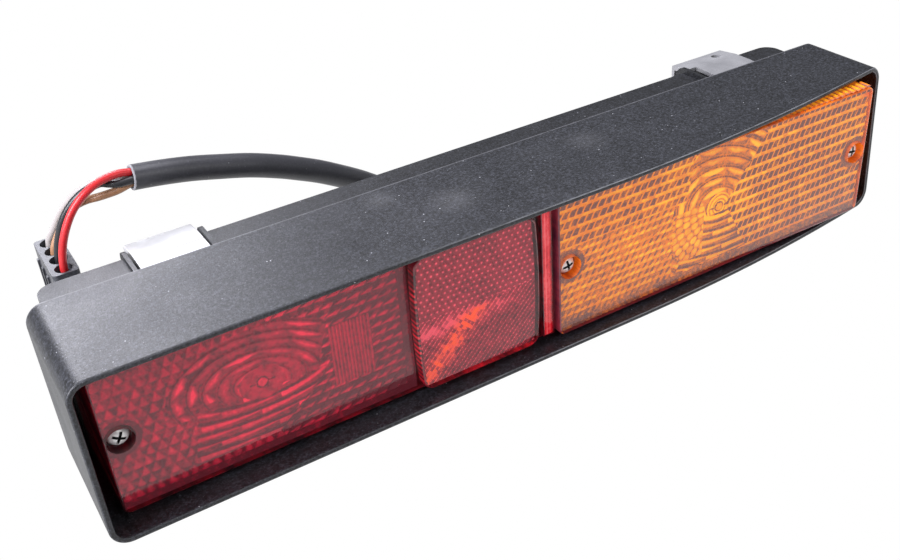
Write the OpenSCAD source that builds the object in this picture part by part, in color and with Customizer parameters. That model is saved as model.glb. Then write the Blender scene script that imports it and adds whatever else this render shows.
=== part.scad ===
// Rear lamp cluster with a moulded hood, a red stop and tail lens with a reflex block,
// and an amber indicator lens. Millimetres, +X along the lamp, -Y out of the lens, +Z up.
// The origin is midway between the two fixing holes, on the plane that meets the vehicle.

/* [Housing] */
// Length of the hood from end to end
hood_l = 403.5; // [390:0.5:430]
// Height of the hood
hood_h = 75; // [70:1:84]
// Depth of the hood from its rear step to its front rim
hood_d = 57; // [54:0.5:62]
// Wall of the moulding
wall_t = 2.4; // [2:0.1:2.8]
// Radius of the hood's four long corners
hood_corner_r = 8; // [6:0.5:12]
// Where the upper rim begins to sweep back, from the left end
sweep_start = 225; // [205:1:250]
// Radius of the swept rim
sweep_r = 930; // [900:10:1400]
// Lean of the sweep, which keeps the lower lip further forward
sweep_lean = 16; // [0:1:24]
// Depth of the rear box behind the step
box_d = 15.5; // [15:0.5:20]
// How far the rear box stands in from the hood's top and underside
box_inset = 2.4; // [1.5:0.1:3]
// How far the rear box stands in from the hood's left end
box_inset_l = 7.5; // [6:0.5:8]
// How far the rear box stands in from the hood's right end
box_inset_r = 18.5; // [16:0.5:22]
// Radius of the rear box's upright corners
box_corner_r = 7; // [4:0.5:9]

/* [Lenses] */
// Gap between the hood's wall and the left end of the red lens
lens_gap_l = 5.9; // [4:0.1:7]
// Gap between the hood's wall and the right end of the amber lens
lens_gap_r = 13; // [8:0.1:15]
// Gap between the hood's walls and the lenses above and below
lens_gap_z = 1.8; // [1.2:0.1:2.6]
// Where the red lens meets the amber lens, from the left end
lens_split = 203.4; // [195:0.2:212]
// Gap between the two lenses
lens_joint = 0.3; // [0.2:0.1:0.6]
// How far the red face lies behind the front rim
red_recess = 10.5; // [8:0.5:13]
// How far the amber face lies behind the front rim
amber_recess = 6; // [3:0.5:8]
// Thickness of a lens face
lens_face_t = 2.4; // [2:0.1:3]
// Thickness of a lens side wall
lens_wall_t = 2; // [1.5:0.1:2.5]
// Radius of a lens's outer corners
lens_corner_r = 3; // [2.5:0.5:6]
// Thickness of the gasket between the lenses and the housing
gasket_t = 1.6; // [1:0.1:2.5]
// Width of the gasket
gasket_w = 3.4; // [2.8:0.1:4]
// Height of the optics on the inside of the faces
optic_h = 1; // [0.6:0.1:1.4]
// Spacing of the concentric optic rings
ring_pitch = 4; // [3:0.25:5]
// Half the width of the field of concentric optic rings
ring_zone_r = 29; // [24:1:30]
// Width of one optic block
block_w = 4; // [3.5:0.1:5]
// Height of one optic block
block_h = 4.5; // [3.8:0.1:5.5]

/* [Reflex block] */
// Distance from the joint between the lenses to the reflex block
reflex_inset = 9.6; // [8.5:0.1:14]
// Width of the reflex block
reflex_w = 59.6; // [54:0.2:60]
// Gap between the reflex block and the lens's upper and lower edges
reflex_margin = 1.2; // [0.8:0.1:4]
// Radius of the bowed sides of the reflex block
reflex_bow_r = 394; // [300:1:600]
// Width of the rim of the reflex block that lies on the lens
reflex_rim = 2.6; // [2:0.1:3.5]
// Spacing of the cube corners of the reflex block
reflex_pitch = 3.4; // [3:0.1:5]

/* [Screws and bulbs] */
// Distance of each lens screw from the end of its lens
screw_inset = 6.3; // [6.2:0.1:7]
// Diameter of the counterbore in the lens
counterbore_d = 10.6; // [9:0.1:10.8]
// Depth of the counterbore in the lens
counterbore_depth = 6; // [4.5:0.5:8]
// Diameter of the lens screw's thread
screw_d = 3.5; // [3:0.1:4]
// Diameter of the lens screw's head
screw_head_d = 7; // [6:0.1:8]
// Length of the lens screw under its head
screw_l = 16; // [12:0.5:20]
// Diameter of the screw posts in the housing
post_d = 7.2; // [6.4:0.1:8]
// Centre of the stop and tail bulb, from the left end
tail_bulb_x = 70; // [64:0.5:76]
// How far the indicator bulb stands left of the middle of its lens
turn_bulb_shift = 1.4; // [0:0.2:8]
// Diameter of a bulb's glass
bulb_d = 25; // [20:0.5:26]
// Diameter of a bulb's metal cap
cap_d = 15; // [14:0.1:15.4]

/* [Brackets] */
// Centre of the left bracket's fixing hole, from the left end
left_hole_x = 60; // [59:0.5:61]
// Centre of the right bracket's fixing hole, from the right end
right_hole_inset = 53.5; // [52:0.5:60]
// Diameter of a fixing hole
fix_hole_d = 8.5; // [6:0.1:11]
// Thickness of the bracket strip
strap_t = 1.8; // [1.4:0.1:2.2]
// Width of the left bracket
tongue_w = 28.6; // [24:0.1:30]
// Width of the right bracket's tongue
tongue_w_r = 26.6; // [22:0.1:28]
// Width of the right bracket behind the box
strap_w_r = 32; // [28:0.5:36]
// How far the bracket holds the box off the vehicle
stand_off = 12; // [9:0.5:18]

/* [Cable] */
// Diameter of the cable sleeve
sleeve_d = 11; // [9:0.1:11.4]
// Diameter of one wire
wire_d = 3.4; // [2.6:0.1:3.4]
// Diameter of a lead inside the box
lead_d = 2.4; // [1.8:0.1:2.4]

/* [Hidden] */
$fn = 48;
eps = 0.01;
fit_gap = 0.3;

// Planes across the lamp, from the front to the back
rim_y = -hood_d;
amber_y = rim_y + amber_recess;
red_y = rim_y + red_recess;
ledge_y = -wall_t;
seat_y = ledge_y - gasket_t;
back_in_y = box_d - wall_t;
mount_y = box_d + stand_off;
mid_z = hood_h/2;

// Ends of the lenses and the housing's openings behind them
red_x0 = wall_t + lens_gap_l;
red_x1 = lens_split - lens_joint/2;
amber_x0 = lens_split + lens_joint/2;
amber_x1 = hood_l - wall_t - lens_gap_r;
lens_z0 = wall_t + lens_gap_z;
lens_z1 = hood_h - lens_z0;
screw_x = [red_x0 + screw_inset, amber_x0 + screw_inset, amber_x1 - screw_inset];
screw_face_y = [red_y, amber_y, amber_y];
post_r = post_d/2;
bay_gap = 0.5;
reflex_x = lens_split - reflex_inset - reflex_w/2;
reflex_h = lens_z1 - lens_z0 - 2*reflex_margin;
turn_bulb_x = (amber_x0 + amber_x1)/2 - turn_bulb_shift;
pocket_depth = 4;
pocket_floor = 2;
bay_z0 = box_inset + pocket_depth + pocket_floor;
bay_z1 = hood_h - bay_z0;
baffle_x0 = red_x1 - lens_wall_t - fit_gap;
tail_bay = [screw_x[0] + post_r + bay_gap, baffle_x0 - bay_gap];
turn_bay = [screw_x[1] + post_r + bay_gap, screw_x[2] - post_r - bay_gap];

// Rear box and its pockets for the brackets
box_x0 = box_inset_l;
box_x1 = hood_l - box_inset_r;
box_z0 = box_inset;
box_z1 = hood_h - box_inset;
tongue_top = box_z1 + 0.8;
right_hole_x = hood_l - right_hole_inset;
left_strap_x0 = left_hole_x - tongue_w/2;
right_tongue_x0 = right_hole_x - tongue_w_r/2;
right_strap_x1 = right_tongue_x0 + tongue_w_r;
right_strap_x0 = right_strap_x1 - strap_w_r;
pocket_gap = 1.6;
cheek_t = 1.7;
cheek_reach = 5;
pocket_left = [left_strap_x0 - pocket_gap, left_strap_x0 + tongue_w + fit_gap];
pocket_right = [right_strap_x0 - pocket_gap, right_strap_x1 + fit_gap];
strap_fall = 1.6;

// Cable outlet, which the sleeve's chosen route starts from
outlet_x = 235;
outlet_z = 21;
neck_r = 7;
grommet_tip_y = 34;
way_pitch = 8.4;

// Routes of the cable sleeve and the wires, from the lamp's left end, step and underside
sleeve_route = [[235, 34, 21], [235, 39, 21], [234, 45, 20.5], [230.5, 53, 20], [223.5, 61, 20],
    [213.5, 67, 21], [202, 70, 24], [191, 70, 29], [180, 68, 36], [169, 66, 44], [158, 63, 51.5],
    [147, 60.5, 58.5], [137, 58.5, 64], [127, 57, 69], [113, 55, 75], [99, 53.5, 79.5],
    [85.5, 52, 83.5], [72, 50.5, 86.6], [60.4, 50, 88.4]];
wire_red_route = [[60.8, 50, 90.9], [59.8, 50, 91.05], [54.5, 49.7, 92], [47, 49.5, 91], [40.3, 49.5, 87.7],
    [34.5, 49.6, 82.6], [30, 49.8, 76], [26.6, 50, 68.5], [24.6, 50, 61], [24, 50, 55], [24, 50, 54]];
wire_black_route = [[60.5, 47.5, 88.4], [59.5, 47.5, 88.55], [54.5, 49, 88], [50.8, 51.2, 88.2], [47.3, 53, 88.6],
    [40.9, 54.6, 86.2], [35.2, 56.4, 81.6], [30.4, 57.7, 75.4], [26.9, 58.3, 68], [24.7, 58.4, 61],
    [24, 58.4, 55], [24, 58.4, 54]];
wire_brown_route = [[60, 50, 85.9], [59, 50, 86.05], [53.5, 51.4, 84], [46.6, 54.8, 82], [41.3, 58.8, 80.2],
    [36.6, 62.6, 77], [32.3, 65.3, 71.8], [28.4, 66.6, 65.5], [25, 66.8, 59.8], [24, 66.8, 55],
    [24, 66.8, 54]];
wire_white_route = [[60.3, 52.5, 88.4], [59.3, 52.5, 88.55], [53.5, 55, 88.2], [46.4, 59.6, 86.3], [40.4, 64, 82.6],
    [35.3, 68.2, 77], [30.8, 71.8, 70.2], [27.4, 74, 64], [24.8, 75, 59.4], [24, 75.2, 55], [24, 75.2, 54]];
way_x = 24;
way_y0 = 50;
ways = [for (i = [0:3]) way_y0 + i*way_pitch];
connector_top = 58;
seal_top = 54;
connector_w = 11.4;
connector_end = 4.8;

// Moves a piece from the lamp's corner to the part's own origin
module placed() {
    translate([-(left_hole_x + right_hole_x)/2, -mount_y, -mid_z]) children();
}

// Draws a flat outline in X and Z, and makes it solid from y0 to y1
module slab(y0, y1) {
    translate([0, y1, 0]) rotate([90, 0, 0]) linear_extrude(y1 - y0) children();
}

// A box given by its two opposite corners
module block(low, high) {
    translate(low) cube(high - low);
}

// A cylinder along Y from y0 to y1
module rod(x, z, y0, y1, r) {
    translate([x, y1, z]) rotate([90, 0, 0]) cylinder(r = r, h = y1 - y0);
}

// A turned shape about a line along Y, its profile given as radius and y
module turned(x, z) {
    translate([x, 0, z]) rotate([-90, 0, 0]) rotate_extrude() children();
}

// A rectangle with rounded corners
module round_rect(x0, x1, z0, z1, r) {
    translate([x0 + r, z0]) square([x1 - x0 - 2*r, z1 - z0]);
    translate([x0, z0 + r]) square([x1 - x0, z1 - z0 - 2*r]);
    for (x = [x0 + r, x1 - r], z = [z0 + r, z1 - r]) translate([x, z]) circle(r);
}

// Copies a shape to the underside too
module above_and_below() {
    children();
    translate([0, 0, hood_h]) mirror([0, 0, 1]) children();
}

// Hood, box and everything moulded with them
module housing_outside() {
    slab(rim_y, 0) round_rect(0, hood_l, 0, hood_h, hood_corner_r);
    translate([0, 0, box_z0]) linear_extrude(box_z1 - box_z0) box_plan(0, -eps, box_d);
    above_and_below() {
        cheek(pocket_left[0] - cheek_t);
        cheek(pocket_left[1]);
        cheek(pocket_right[0] - cheek_t);
    }
}

// Plan of the rear box up to y1, drawn in by g, with its two rear corners rounded
module box_plan(g, y0, y1) {
    r = box_corner_r - g;
    x0 = box_x0 + g;
    x1 = box_x1 - g;
    translate([x0, y0]) square([x1 - x0, y1 - r - y0]);
    translate([x0 + r, y0]) square([x1 - x0 - 2*r, y1 - y0]);
    for (x = [x0 + r, x1 - r]) translate([x, y1 - r]) circle(r);
}

// Hollow of the rear box, less the pockets' trays and the wall between the bays
module box_hollow() {
    difference() {
        translate([0, 0, box_z0 + wall_t]) linear_extrude(box_z1 - box_z0 - 2*wall_t)
            box_plan(wall_t, 0, back_in_y);
        above_and_below() {
            pocket_tray(pocket_left);
            pocket_tray(pocket_right);
        }
        difference() {
            block([lens_split - wall_t/2, -1, 0], [lens_split + wall_t/2, box_d, hood_h]);
            lead_window();
        }
    }
}

// One wall beside a bracket pocket, with a rounded rear end
module cheek(x) {
    r = cheek_reach;
    y1 = box_d + cheek_reach;
    translate([x, 0, 0]) rotate([90, 0, 90]) linear_extrude(cheek_t) {
        translate([-eps, hood_h - 2*r]) square([y1 - r + eps, 2*r]);
        translate([y1 - r, hood_h - r]) circle(r);
    }
}

// Everything in front of the rim, which sweeps back to the right
module rim_cut() {
    translate([sweep_start, rim_y, hood_h]) rotate([0, -sweep_lean, 0]) difference() {
        translate([0, -5, -2*hood_h]) cube([hood_l, 40, 3*hood_h]);
        translate([0, sweep_r, -3*hood_h]) cylinder(r = sweep_r, h = 5*hood_h, $fn = 96);
    }
}

// One bracket pocket, cut down into the box
module pocket(span) {
    block([span[0], fit_gap, box_z1 - pocket_depth], [span[1], box_d + 10, hood_h + 1]);
}

// The closed underside of a pocket, inside the box
module pocket_tray(span) {
    block([span[0] - wall_t, -wall_t, box_z1 - pocket_depth - pocket_floor],
          [span[1] + wall_t, back_in_y + eps, box_z1 - wall_t + eps]);
}

// The raised seat that a tongue lies on
module tongue_seat(x0, w) {
    block([x0, fit_gap, box_z1 - pocket_depth - eps], [x0 + w, box_d, tongue_top - strap_t]);
}

module housing() color("#2b2d31") placed() {
    difference() {
        union() {
            difference() {
                housing_outside();
                slab(rim_y - 1, ledge_y)
                    round_rect(wall_t, hood_l - wall_t, wall_t, hood_h - wall_t, hood_corner_r - wall_t);
                for (bay = [tail_bay, turn_bay])
                    block([bay[0], ledge_y - 1, bay_z0], [bay[1], eps, bay_z1]);
                box_hollow();
            }
            for (i = [0:2]) screw_post(i);
            above_and_below() {
                tongue_seat(left_strap_x0, tongue_w);
                tongue_seat(right_tongue_x0, tongue_w_r);
            }
        }
        rim_cut();
        above_and_below() {
            difference() {
                pocket(pocket_left);
                tongue_seat(left_strap_x0, tongue_w);
            }
            difference() {
                pocket(pocket_right);
                tongue_seat(right_tongue_x0, tongue_w_r);
            }
        }
        for (i = [0:2])
            rod(screw_x[i], mid_z, cup_floor(i) + lens_wall_t - 1, cup_floor(i) + screw_l + 1, screw_d/2 + 0.05);
        rod(outlet_x, outlet_z, back_in_y - 1, box_d + 1, neck_r);
        for (x = [tail_bay[0] + 6, turn_bay[1] - 20]) drain(x);
    }
}

// Front of the lens's cup floor, where a screw head lies
function cup_floor(i) = screw_face_y[i] + counterbore_depth;

// Post that carries a lens screw
module screw_post(i) {
    rod(screw_x[i], mid_z, cup_floor(i) + lens_wall_t, ledge_y + eps, post_r);
    for (s = [-1, 1])
        block([screw_x[i] - 0.8, ledge_y - 14, mid_z + s*(post_r + 1.5) - 2],
              [screw_x[i] + 0.8, ledge_y + eps, mid_z + s*(post_r + 1.5) + 2]);
}

// Windows in the wall between the bays, for the leads and the earth strip
module lead_window() {
    x = [lens_split - wall_t, lens_split + wall_t];
    block([x[0], back_in_y - 6, outlet_z - 8], [x[1], box_d, outlet_z + 8]);
    block([x[0], back_in_y - strip_t - 1, strip_z - 1], [x[1], box_d, strip_z + strip_w + 1]);
}

// Drain slot in the underside of the box
module drain(x) {
    block([x - 3, box_d/2 - 1, -1], [x + 3, box_d/2 + 1, box_z0 + wall_t + 1]);
}

// Outline of both lenses together, grown by g
module lens_pair_outline(g) {
    round_rect(red_x0 - g, amber_x1 + g, lens_z0 - g, lens_z1 + g, lens_corner_r);
}

module lens_gasket() color("#111111") placed() {
    out = 0.8;
    bar = gasket_w/2 + 0.4;
    difference() {
        slab(seat_y, ledge_y) lens_pair_outline(out);
        for (span = [[red_x0 + gasket_w - out, lens_split - bar], [lens_split + bar, amber_x1 - gasket_w + out]])
            slab(seat_y - 1, ledge_y + 1)
                round_rect(span[0], span[1], lens_z0 + gasket_w - out, lens_z1 - gasket_w + out, 1);
        for (i = [0:2]) post_clearance(i);
    }
}

// Room round a screw post and its webs
module post_clearance(i) {
    rod(screw_x[i], mid_z, seat_y - 1, ledge_y + 1, post_r + fit_gap);
    block([screw_x[i] - 1.1, seat_y - 1, mid_z - post_r - 4],
          [screw_x[i] + 1.1, ledge_y + 1, mid_z + post_r + 4]);
}

// Shell of a lens with its screw cups, open at the back
module lens_shell(x0, x1, face_y, screws) {
    t = lens_wall_t;
    difference() {
        union() {
            difference() {
                slab(face_y, seat_y) round_rect(x0, x1, lens_z0, lens_z1, lens_corner_r);
                slab(face_y + lens_face_t, seat_y + 1)
                    round_rect(x0 + t, x1 - t, lens_z0 + t, lens_z1 - t, lens_corner_r - t);
            }
            intersection() {
                slab(face_y, seat_y) round_rect(x0, x1, lens_z0, lens_z1, lens_corner_r);
                for (i = screws)
                    rod(screw_x[i], mid_z, face_y + eps, cup_floor(i) + lens_wall_t, counterbore_d/2 + 1.4);
            }
        }
        for (i = screws) {
            rod(screw_x[i], mid_z, face_y - 1, cup_floor(i), counterbore_d/2);
            rod(screw_x[i], mid_z, face_y, cup_floor(i) + lens_wall_t + 1, screw_d/2 + 0.35);
        }
    }
}

// Saw-toothed rings about a bulb, on the inside of a face, with a thin web between them
module optic_rings(x, face_y) {
    y = face_y + lens_face_t;
    web = 0.2;
    n = ceil((ring_zone_r - 5)/ring_pitch);
    turned(x, mid_z) polygon(concat([[7, y - 0.1]],
        [for (i = [0:n - 1]) each [[7 + i*ring_pitch, y + web], [7 + (i + 0.8)*ring_pitch, y + optic_h]]],
        [[7 + n*ring_pitch, y + web], [7 + n*ring_pitch, y - 0.1]]));
}

// Level bars on the inside of a face, wedge-shaped in section
module optic_bars(x0, x1, z0, z1, face_y, pitch) {
    y = face_y + lens_face_t;
    web = 0.2;
    n = floor((z1 - z0)/pitch);
    translate([x0, 0, 0]) rotate([90, 0, 90]) linear_extrude(x1 - x0)
        polygon(concat([[y - 0.1, z0]],
            [for (i = [0:n - 1]) each [[y + web, z0 + i*pitch], [y + optic_h, z0 + (i + 0.75)*pitch]]],
            [[y + web, z0 + n*pitch], [y - 0.1, z0 + n*pitch]]));
}

// A field of low pyramids in X and Z that point towards +Y, on one plate
module pyramid_field(x0, z0, nx, nz, px, pz, y, h) {
    web = 0.2;
    corner = function(i, j) i*(nz + 1) + j;
    tip = function(i, j) (nx + 1)*(nz + 1) + i*nz + j;
    edge = concat([for (i = [0:nx - 1]) [i, 0]], [for (j = [0:nz - 1]) [nx, j]],
        [for (i = [nx:-1:1]) [i, nz]], [for (j = [nz:-1:1]) [0, j]]);
    n = len(edge);
    foot = (nx + 1)*(nz + 1) + nx*nz;
    points = concat(
        [for (i = [0:nx], j = [0:nz]) [x0 + i*px, y + web, z0 + j*pz]],
        [for (i = [0:nx - 1], j = [0:nz - 1]) [x0 + (i + 0.5)*px, y + h, z0 + (j + 0.35)*pz]],
        [for (e = edge) [x0 + e[0]*px, y - 0.1, z0 + e[1]*pz]],
        [[x0 + nx*px/2, y - 0.1, z0 + nz*pz/2]]);
    slopes = [for (i = [0:nx - 1], j = [0:nz - 1]) each [
        [corner(i, j), corner(i + 1, j), tip(i, j)],
        [corner(i + 1, j), corner(i + 1, j + 1), tip(i, j)],
        [corner(i + 1, j + 1), corner(i, j + 1), tip(i, j)],
        [corner(i, j + 1), corner(i, j), tip(i, j)]]];
    sides = [for (k = [0:n - 1])
        let (a = edge[k], b = edge[(k + 1)%n])
        [corner(b[0], b[1]), corner(a[0], a[1]), foot + k, foot + (k + 1)%n]];
    under = [for (k = [0:n - 1]) [foot + (k + 1)%n, foot + k, foot + n]];
    if (nx > 0 && nz > 0) polyhedron(points, concat(slopes, sides, under), convexity = 4);
}

// Right half of the reflex block's outline about its centre, with a bowed side, shrunk by g
function reflex_half(g) =
    let (h = reflex_h/2 - g, r = 5 - g/2, zs = h - r,
        bow = function(z) reflex_w/2 - g - reflex_bow_r + sqrt(reflex_bow_r*reflex_bow_r - z*z))
    concat([for (a = [-90:15:0]) [bow(zs) - r + r*cos(a), r*sin(a) - zs]],
        [for (k = [-3:3]) [bow(zs*k/4), zs*k/4]],
        [for (a = [0:15:90]) [bow(zs) - r + r*cos(a), zs + r*sin(a)]]);
module reflex_outline(g) {
    half = reflex_half(g);
    translate([reflex_x, mid_z])
        polygon(concat(half, [for (k = [len(half) - 1:-1:0]) [-half[k][0], half[k][1]]]));
}

module red_lens() color("#b0122b", 0.75) placed() {
    face_in = red_y + lens_face_t;
    left = red_x0 + lens_wall_t + 0.4;
    top = lens_z1 - lens_wall_t - 0.5;
    bottom = lens_z0 + lens_wall_t + 0.5;
    ring_left = tail_bulb_x - ring_zone_r;
    cup_right = screw_x[0] + counterbore_d/2 + 1.4;
    difference() {
        union() {
            lens_shell(red_x0, red_x1, red_y, [0]);
            block([red_x1 - 6, red_y - 2, lens_z0 + 1], [red_x1 - 2.4, red_y + eps, lens_z1 - 1]);
            intersection() {
                optic_rings(tail_bulb_x, red_y);
                block([ring_left, red_y, mid_z - 3], [tail_bulb_x + ring_zone_r, seat_y, top]);
            }
            optic_bars(ring_left, tail_bulb_x + ring_zone_r + 26, bottom, mid_z - 3 + 0.4, red_y, 3.1);
            pyramid_field(cup_right + 0.3, bottom, floor((ring_left - cup_right - 0.6)/block_w),
                floor((top - bottom)/block_h), block_w, block_h, face_in, optic_h);
            pyramid_field(tail_bulb_x + ring_zone_r + 0.5, mid_z - 2.3, 6, floor((top - mid_z + 2)/block_h),
                block_w, block_h, face_in, optic_h);
        }
        slab(red_y - 1, face_in + optic_h + 1) reflex_outline(reflex_rim - 0.15);
    }
}

module reflex_block() color("#a01226", 0.85) placed() {
    back = red_y + lens_face_t + 0.6;
    inset = reflex_rim + 1.5;
    nx = floor((reflex_w - 2*inset - 2)/reflex_pitch);
    nz = floor((reflex_h - 2*inset)/reflex_pitch);
    slab(amber_y, red_y) reflex_outline(0);
    slab(red_y - eps, back) reflex_outline(reflex_rim);
    pyramid_field(reflex_x - nx*reflex_pitch/2, mid_z - nz*reflex_pitch/2, nx, nz,
        reflex_pitch, reflex_pitch, back, 1.6);
}

module amber_lens() color("#f08a1c", 0.8) placed() {
    face_in = amber_y + lens_face_t;
    top = lens_z1 - lens_wall_t - 0.5;
    bottom = lens_z0 + lens_wall_t + 0.5;
    cup_r = counterbore_d/2 + 1.4;
    left = screw_x[1] + cup_r + 0.3;
    ring_left = turn_bulb_x - ring_zone_r;
    right = turn_bulb_x + ring_zone_r + 0.4;
    lens_shell(amber_x0, amber_x1, amber_y, [1, 2]);
    intersection() {
        optic_rings(turn_bulb_x, amber_y);
        block([ring_left, amber_y, bottom], [turn_bulb_x + ring_zone_r, seat_y, top]);
    }
    pyramid_field(left, bottom, floor((ring_left - left - 0.3)/block_w), floor((top - bottom)/block_h),
        block_w, block_h, face_in, optic_h);
    pyramid_field(right, bottom, floor((screw_x[2] - cup_r - right - 0.3)/block_w), floor((top - bottom)/block_h),
        block_w, block_h, face_in, optic_h);
}

// Pan-headed screw with a cross recess, lying in its cup
module lens_screw(i) {
    y = cup_floor(i);
    r = screw_head_d/2;
    rise = 2.6;
    difference() {
        turned(screw_x[i], mid_z) polygon([[0, y - rise], [r*0.45, y - rise*0.96], [r*0.75, y - rise*0.8],
            [r*0.94, y - rise*0.5], [r, y - rise*0.2], [r, y], [screw_d/2, y],
            [screw_d/2, y + screw_l - 3], [0.4, y + screw_l], [0, y + screw_l]]);
        for (a = [0, 90]) translate([screw_x[i], y - rise + 0.7, mid_z]) rotate([0, a + 20, 0])
            cube([4.2, 1.6, 0.9], center = true);
    }
}

module lens_screws() color("#d8d8d4") placed() {
    for (i = [0:2]) lens_screw(i);
}

// Tray with a dished reflector round a bulb, pushed in through a bay's opening
module reflector_tray(bay, x) {
    t = 1;
    side = 0.4;
    floor_y = 4;
    dish_r = 25;
    hole_r = cap_d/2 + 2.4;
    x0 = bay[0] + side;
    x1 = bay[1] - side;
    z0 = bay_z0 + side;
    z1 = bay_z1 - side;
    difference() {
        block([x0, seat_y + 1, z0], [x1, floor_y + t, z1]);
        block([x0 + t, seat_y, z0 + t], [x1 - t, floor_y, z1 - t]);
        rod(x, mid_z, floor_y - 1, floor_y + t + 1, dish_r);
    }
    turned(x, mid_z) polygon(concat(
        [for (k = [0:6]) dish_point(k/6, hole_r, dish_r + 0.4, floor_y, 0)],
        [for (k = [6:-1:0]) dish_point(k/6, hole_r, dish_r + 0.4, floor_y, t)]));
}

// A point of the dish's curve, from its hole (0) to its edge (1), t behind the bright side
function dish_point(u, r0, r1, y_edge, t) = [r0 + (r1 - r0)*u, y_edge + 3*(1 - u*u) + t];

module tail_reflector() color("#c9ccd0") placed() { reflector_tray(tail_bay, tail_bulb_x); }
module turn_reflector() color("#c9ccd0") placed() { reflector_tray(turn_bay, turn_bulb_x); }

// Glass of a bulb, pear-shaped, from the cap's mouth to the tip
cap_front = -7.5;
cap_back = 9;
bulb_tip = -36;
module bulb_glass(x) {
    r = bulb_d/2;
    n = cap_d/2 - 0.7;
    turned(x, mid_z) polygon(concat([[0, bulb_tip]],
        [for (a = [10:10:90]) [r*sin(a), bulb_tip + r - r*cos(a)]],
        [[r*0.96, bulb_tip + r + 3], [r*0.82, bulb_tip + r + 7.5], [n + 0.8, cap_front - 3],
         [n, cap_front - 0.5], [n, cap_front], [0, cap_front]]));
}
module bulb_cap(x, pips) {
    r = cap_d/2;
    turned(x, mid_z) polygon([[0, cap_front], [r, cap_front], [r, cap_back - 2], [r - 1.6, cap_back], [0, cap_back]]);
    for (dx = pips) rod(x + dx, mid_z, cap_back - eps, cap_back + 0.9, 1.5);
}
module tail_bulb_glass() color("#e9eef0", 0.5) placed() { bulb_glass(tail_bulb_x); }
module turn_bulb_glass() color("#e8a23a", 0.7) placed() { bulb_glass(turn_bulb_x); }
tail_pips = [-3, 3];
turn_pips = [0];
module tail_bulb_cap() color("#c8b27a") placed() { bulb_cap(tail_bulb_x, tail_pips); }
module turn_bulb_cap() color("#c8b27a") placed() { bulb_cap(turn_bulb_x, turn_pips); }

// Width of a holder's flange on the back wall
holder_flange = 4.5;
holder_r = cap_d/2 + 0.1;
notch_w = 9.2;

// Bayonet holder: a pressed tube with a flange on the housing's back wall
module holder(x) {
    r_in = holder_r;
    t = 0.7;
    difference() {
        turned(x, mid_z) polygon([[r_in, -4], [r_in + t, -4], [r_in + t, back_in_y - 0.8],
            [r_in + holder_flange, back_in_y - 0.8], [r_in + holder_flange, back_in_y], [r_in, back_in_y]]);
        for (s = [-1, 1]) translate([x + s*(r_in + 0.3), -4, mid_z]) rotate([-90, 0, 0])
            translate([-2, -1.1, -1]) cube([4, 2.2, 8]);
        translate([x - notch_w/2, back_in_y - 4, mid_z - r_in - 6]) cube([notch_w, 6, 8]);
    }
}
module tail_holder() color("#b9bcc0") placed() { holder(tail_bulb_x); }
module turn_holder() color("#b9bcc0") placed() { holder(turn_bulb_x); }

// Insulating disc in the foot of a holder, with the sprung contacts on it
carrier_t = 1.6;
blade_t = 0.5;
module carrier(x) { rod(x, mid_z, back_in_y - carrier_t, back_in_y, cap_d/2 - 0.1); }
module tail_contact_carrier() color("#7a4a2a") placed() { carrier(tail_bulb_x); }
module turn_contact_carrier() color("#7a4a2a") placed() { carrier(turn_bulb_x); }
module contact(x) {
    rod(x, mid_z, cap_back + 0.9, back_in_y - carrier_t, 1.3);
    block([x - 1.2, back_in_y - carrier_t - blade_t, mid_z - cap_d/2 - 4.5],
          [x + 1.2, back_in_y - carrier_t, mid_z + 0.5]);
}
module tail_contacts() color("#c9a227") placed() { for (dx = tail_pips) contact(tail_bulb_x + dx); }
module turn_contact() color("#c9a227") placed() { contact(turn_bulb_x); }

// Strip on the back wall that joins both holders to earth
strip_w = 5;
strip_z = mid_z + holder_r + holder_flange + strip_w/2;
strip_t = 0.8;
module earth_strip() color("#c9a227") placed() {
    y = [back_in_y - strip_t, back_in_y];
    flange_top = mid_z + holder_r + holder_flange;
    for (x = [tail_bulb_x, turn_bulb_x])
        block([x - strip_w/2, y[0], flange_top], [x + strip_w/2, y[1], strip_z + strip_w]);
    block([tail_bulb_x - strip_w/2, y[0], strip_z], [turn_bulb_x + strip_w/2, y[1], strip_z + strip_w]);
}

// Direction along a route at point i, as a unit vector
function heading(route, i) =
    let (a = route[max(i - 1, 0)], b = route[min(i + 1, len(route) - 1)], d = b - a) d/norm(d);
// Two axes across a route that turn with it as little as possible
function across(route, i, prev) =
    let (h = heading(route, i), u = prev - h*(prev*h)) u/norm(u);
function side_axes(route, i = 0, prev = [0.11, 0.31, 0.94]) =
    i == len(route) ? [] :
    let (u = across(route, i, prev)) concat([u], side_axes(route, i + 1, u));
// A round tube swept along a route, as one closed solid
module tube(route, d, sides) {
    axes = side_axes(route);
    n = len(route);
    points = [for (i = [0:n - 1], k = [0:sides - 1])
        let (h = heading(route, i), u = axes[i], v = cross(h, u), a = 360*k/sides)
        route[i] + d/2*(cos(a)*u + sin(a)*v)];
    skin = [for (i = [0:n - 2], k = [0:sides - 1])
        [i*sides + k, i*sides + (k + 1)%sides, (i + 1)*sides + (k + 1)%sides, (i + 1)*sides + k]];
    start = [for (k = [sides - 1:-1:0]) k];
    end = [for (k = [0:sides - 1]) (n - 1)*sides + k];
    polyhedron(points, concat(skin, [start, end]), convexity = 8);
}

module cable_sleeve() color("#1b1c1e") placed() { tube(sleeve_route, sleeve_d, 12); }
module wire_red() color("#d2262c") placed() { tube(wire_red_route, wire_d, 8); }
module wire_black() color("#202124") placed() { tube(wire_black_route, wire_d, 8); }
module wire_brown() color("#8a5a33") placed() { tube(wire_brown_route, wire_d, 8); }
module wire_white() color("#e4e2de") placed() { tube(wire_white_route, wire_d, 8); }

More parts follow.
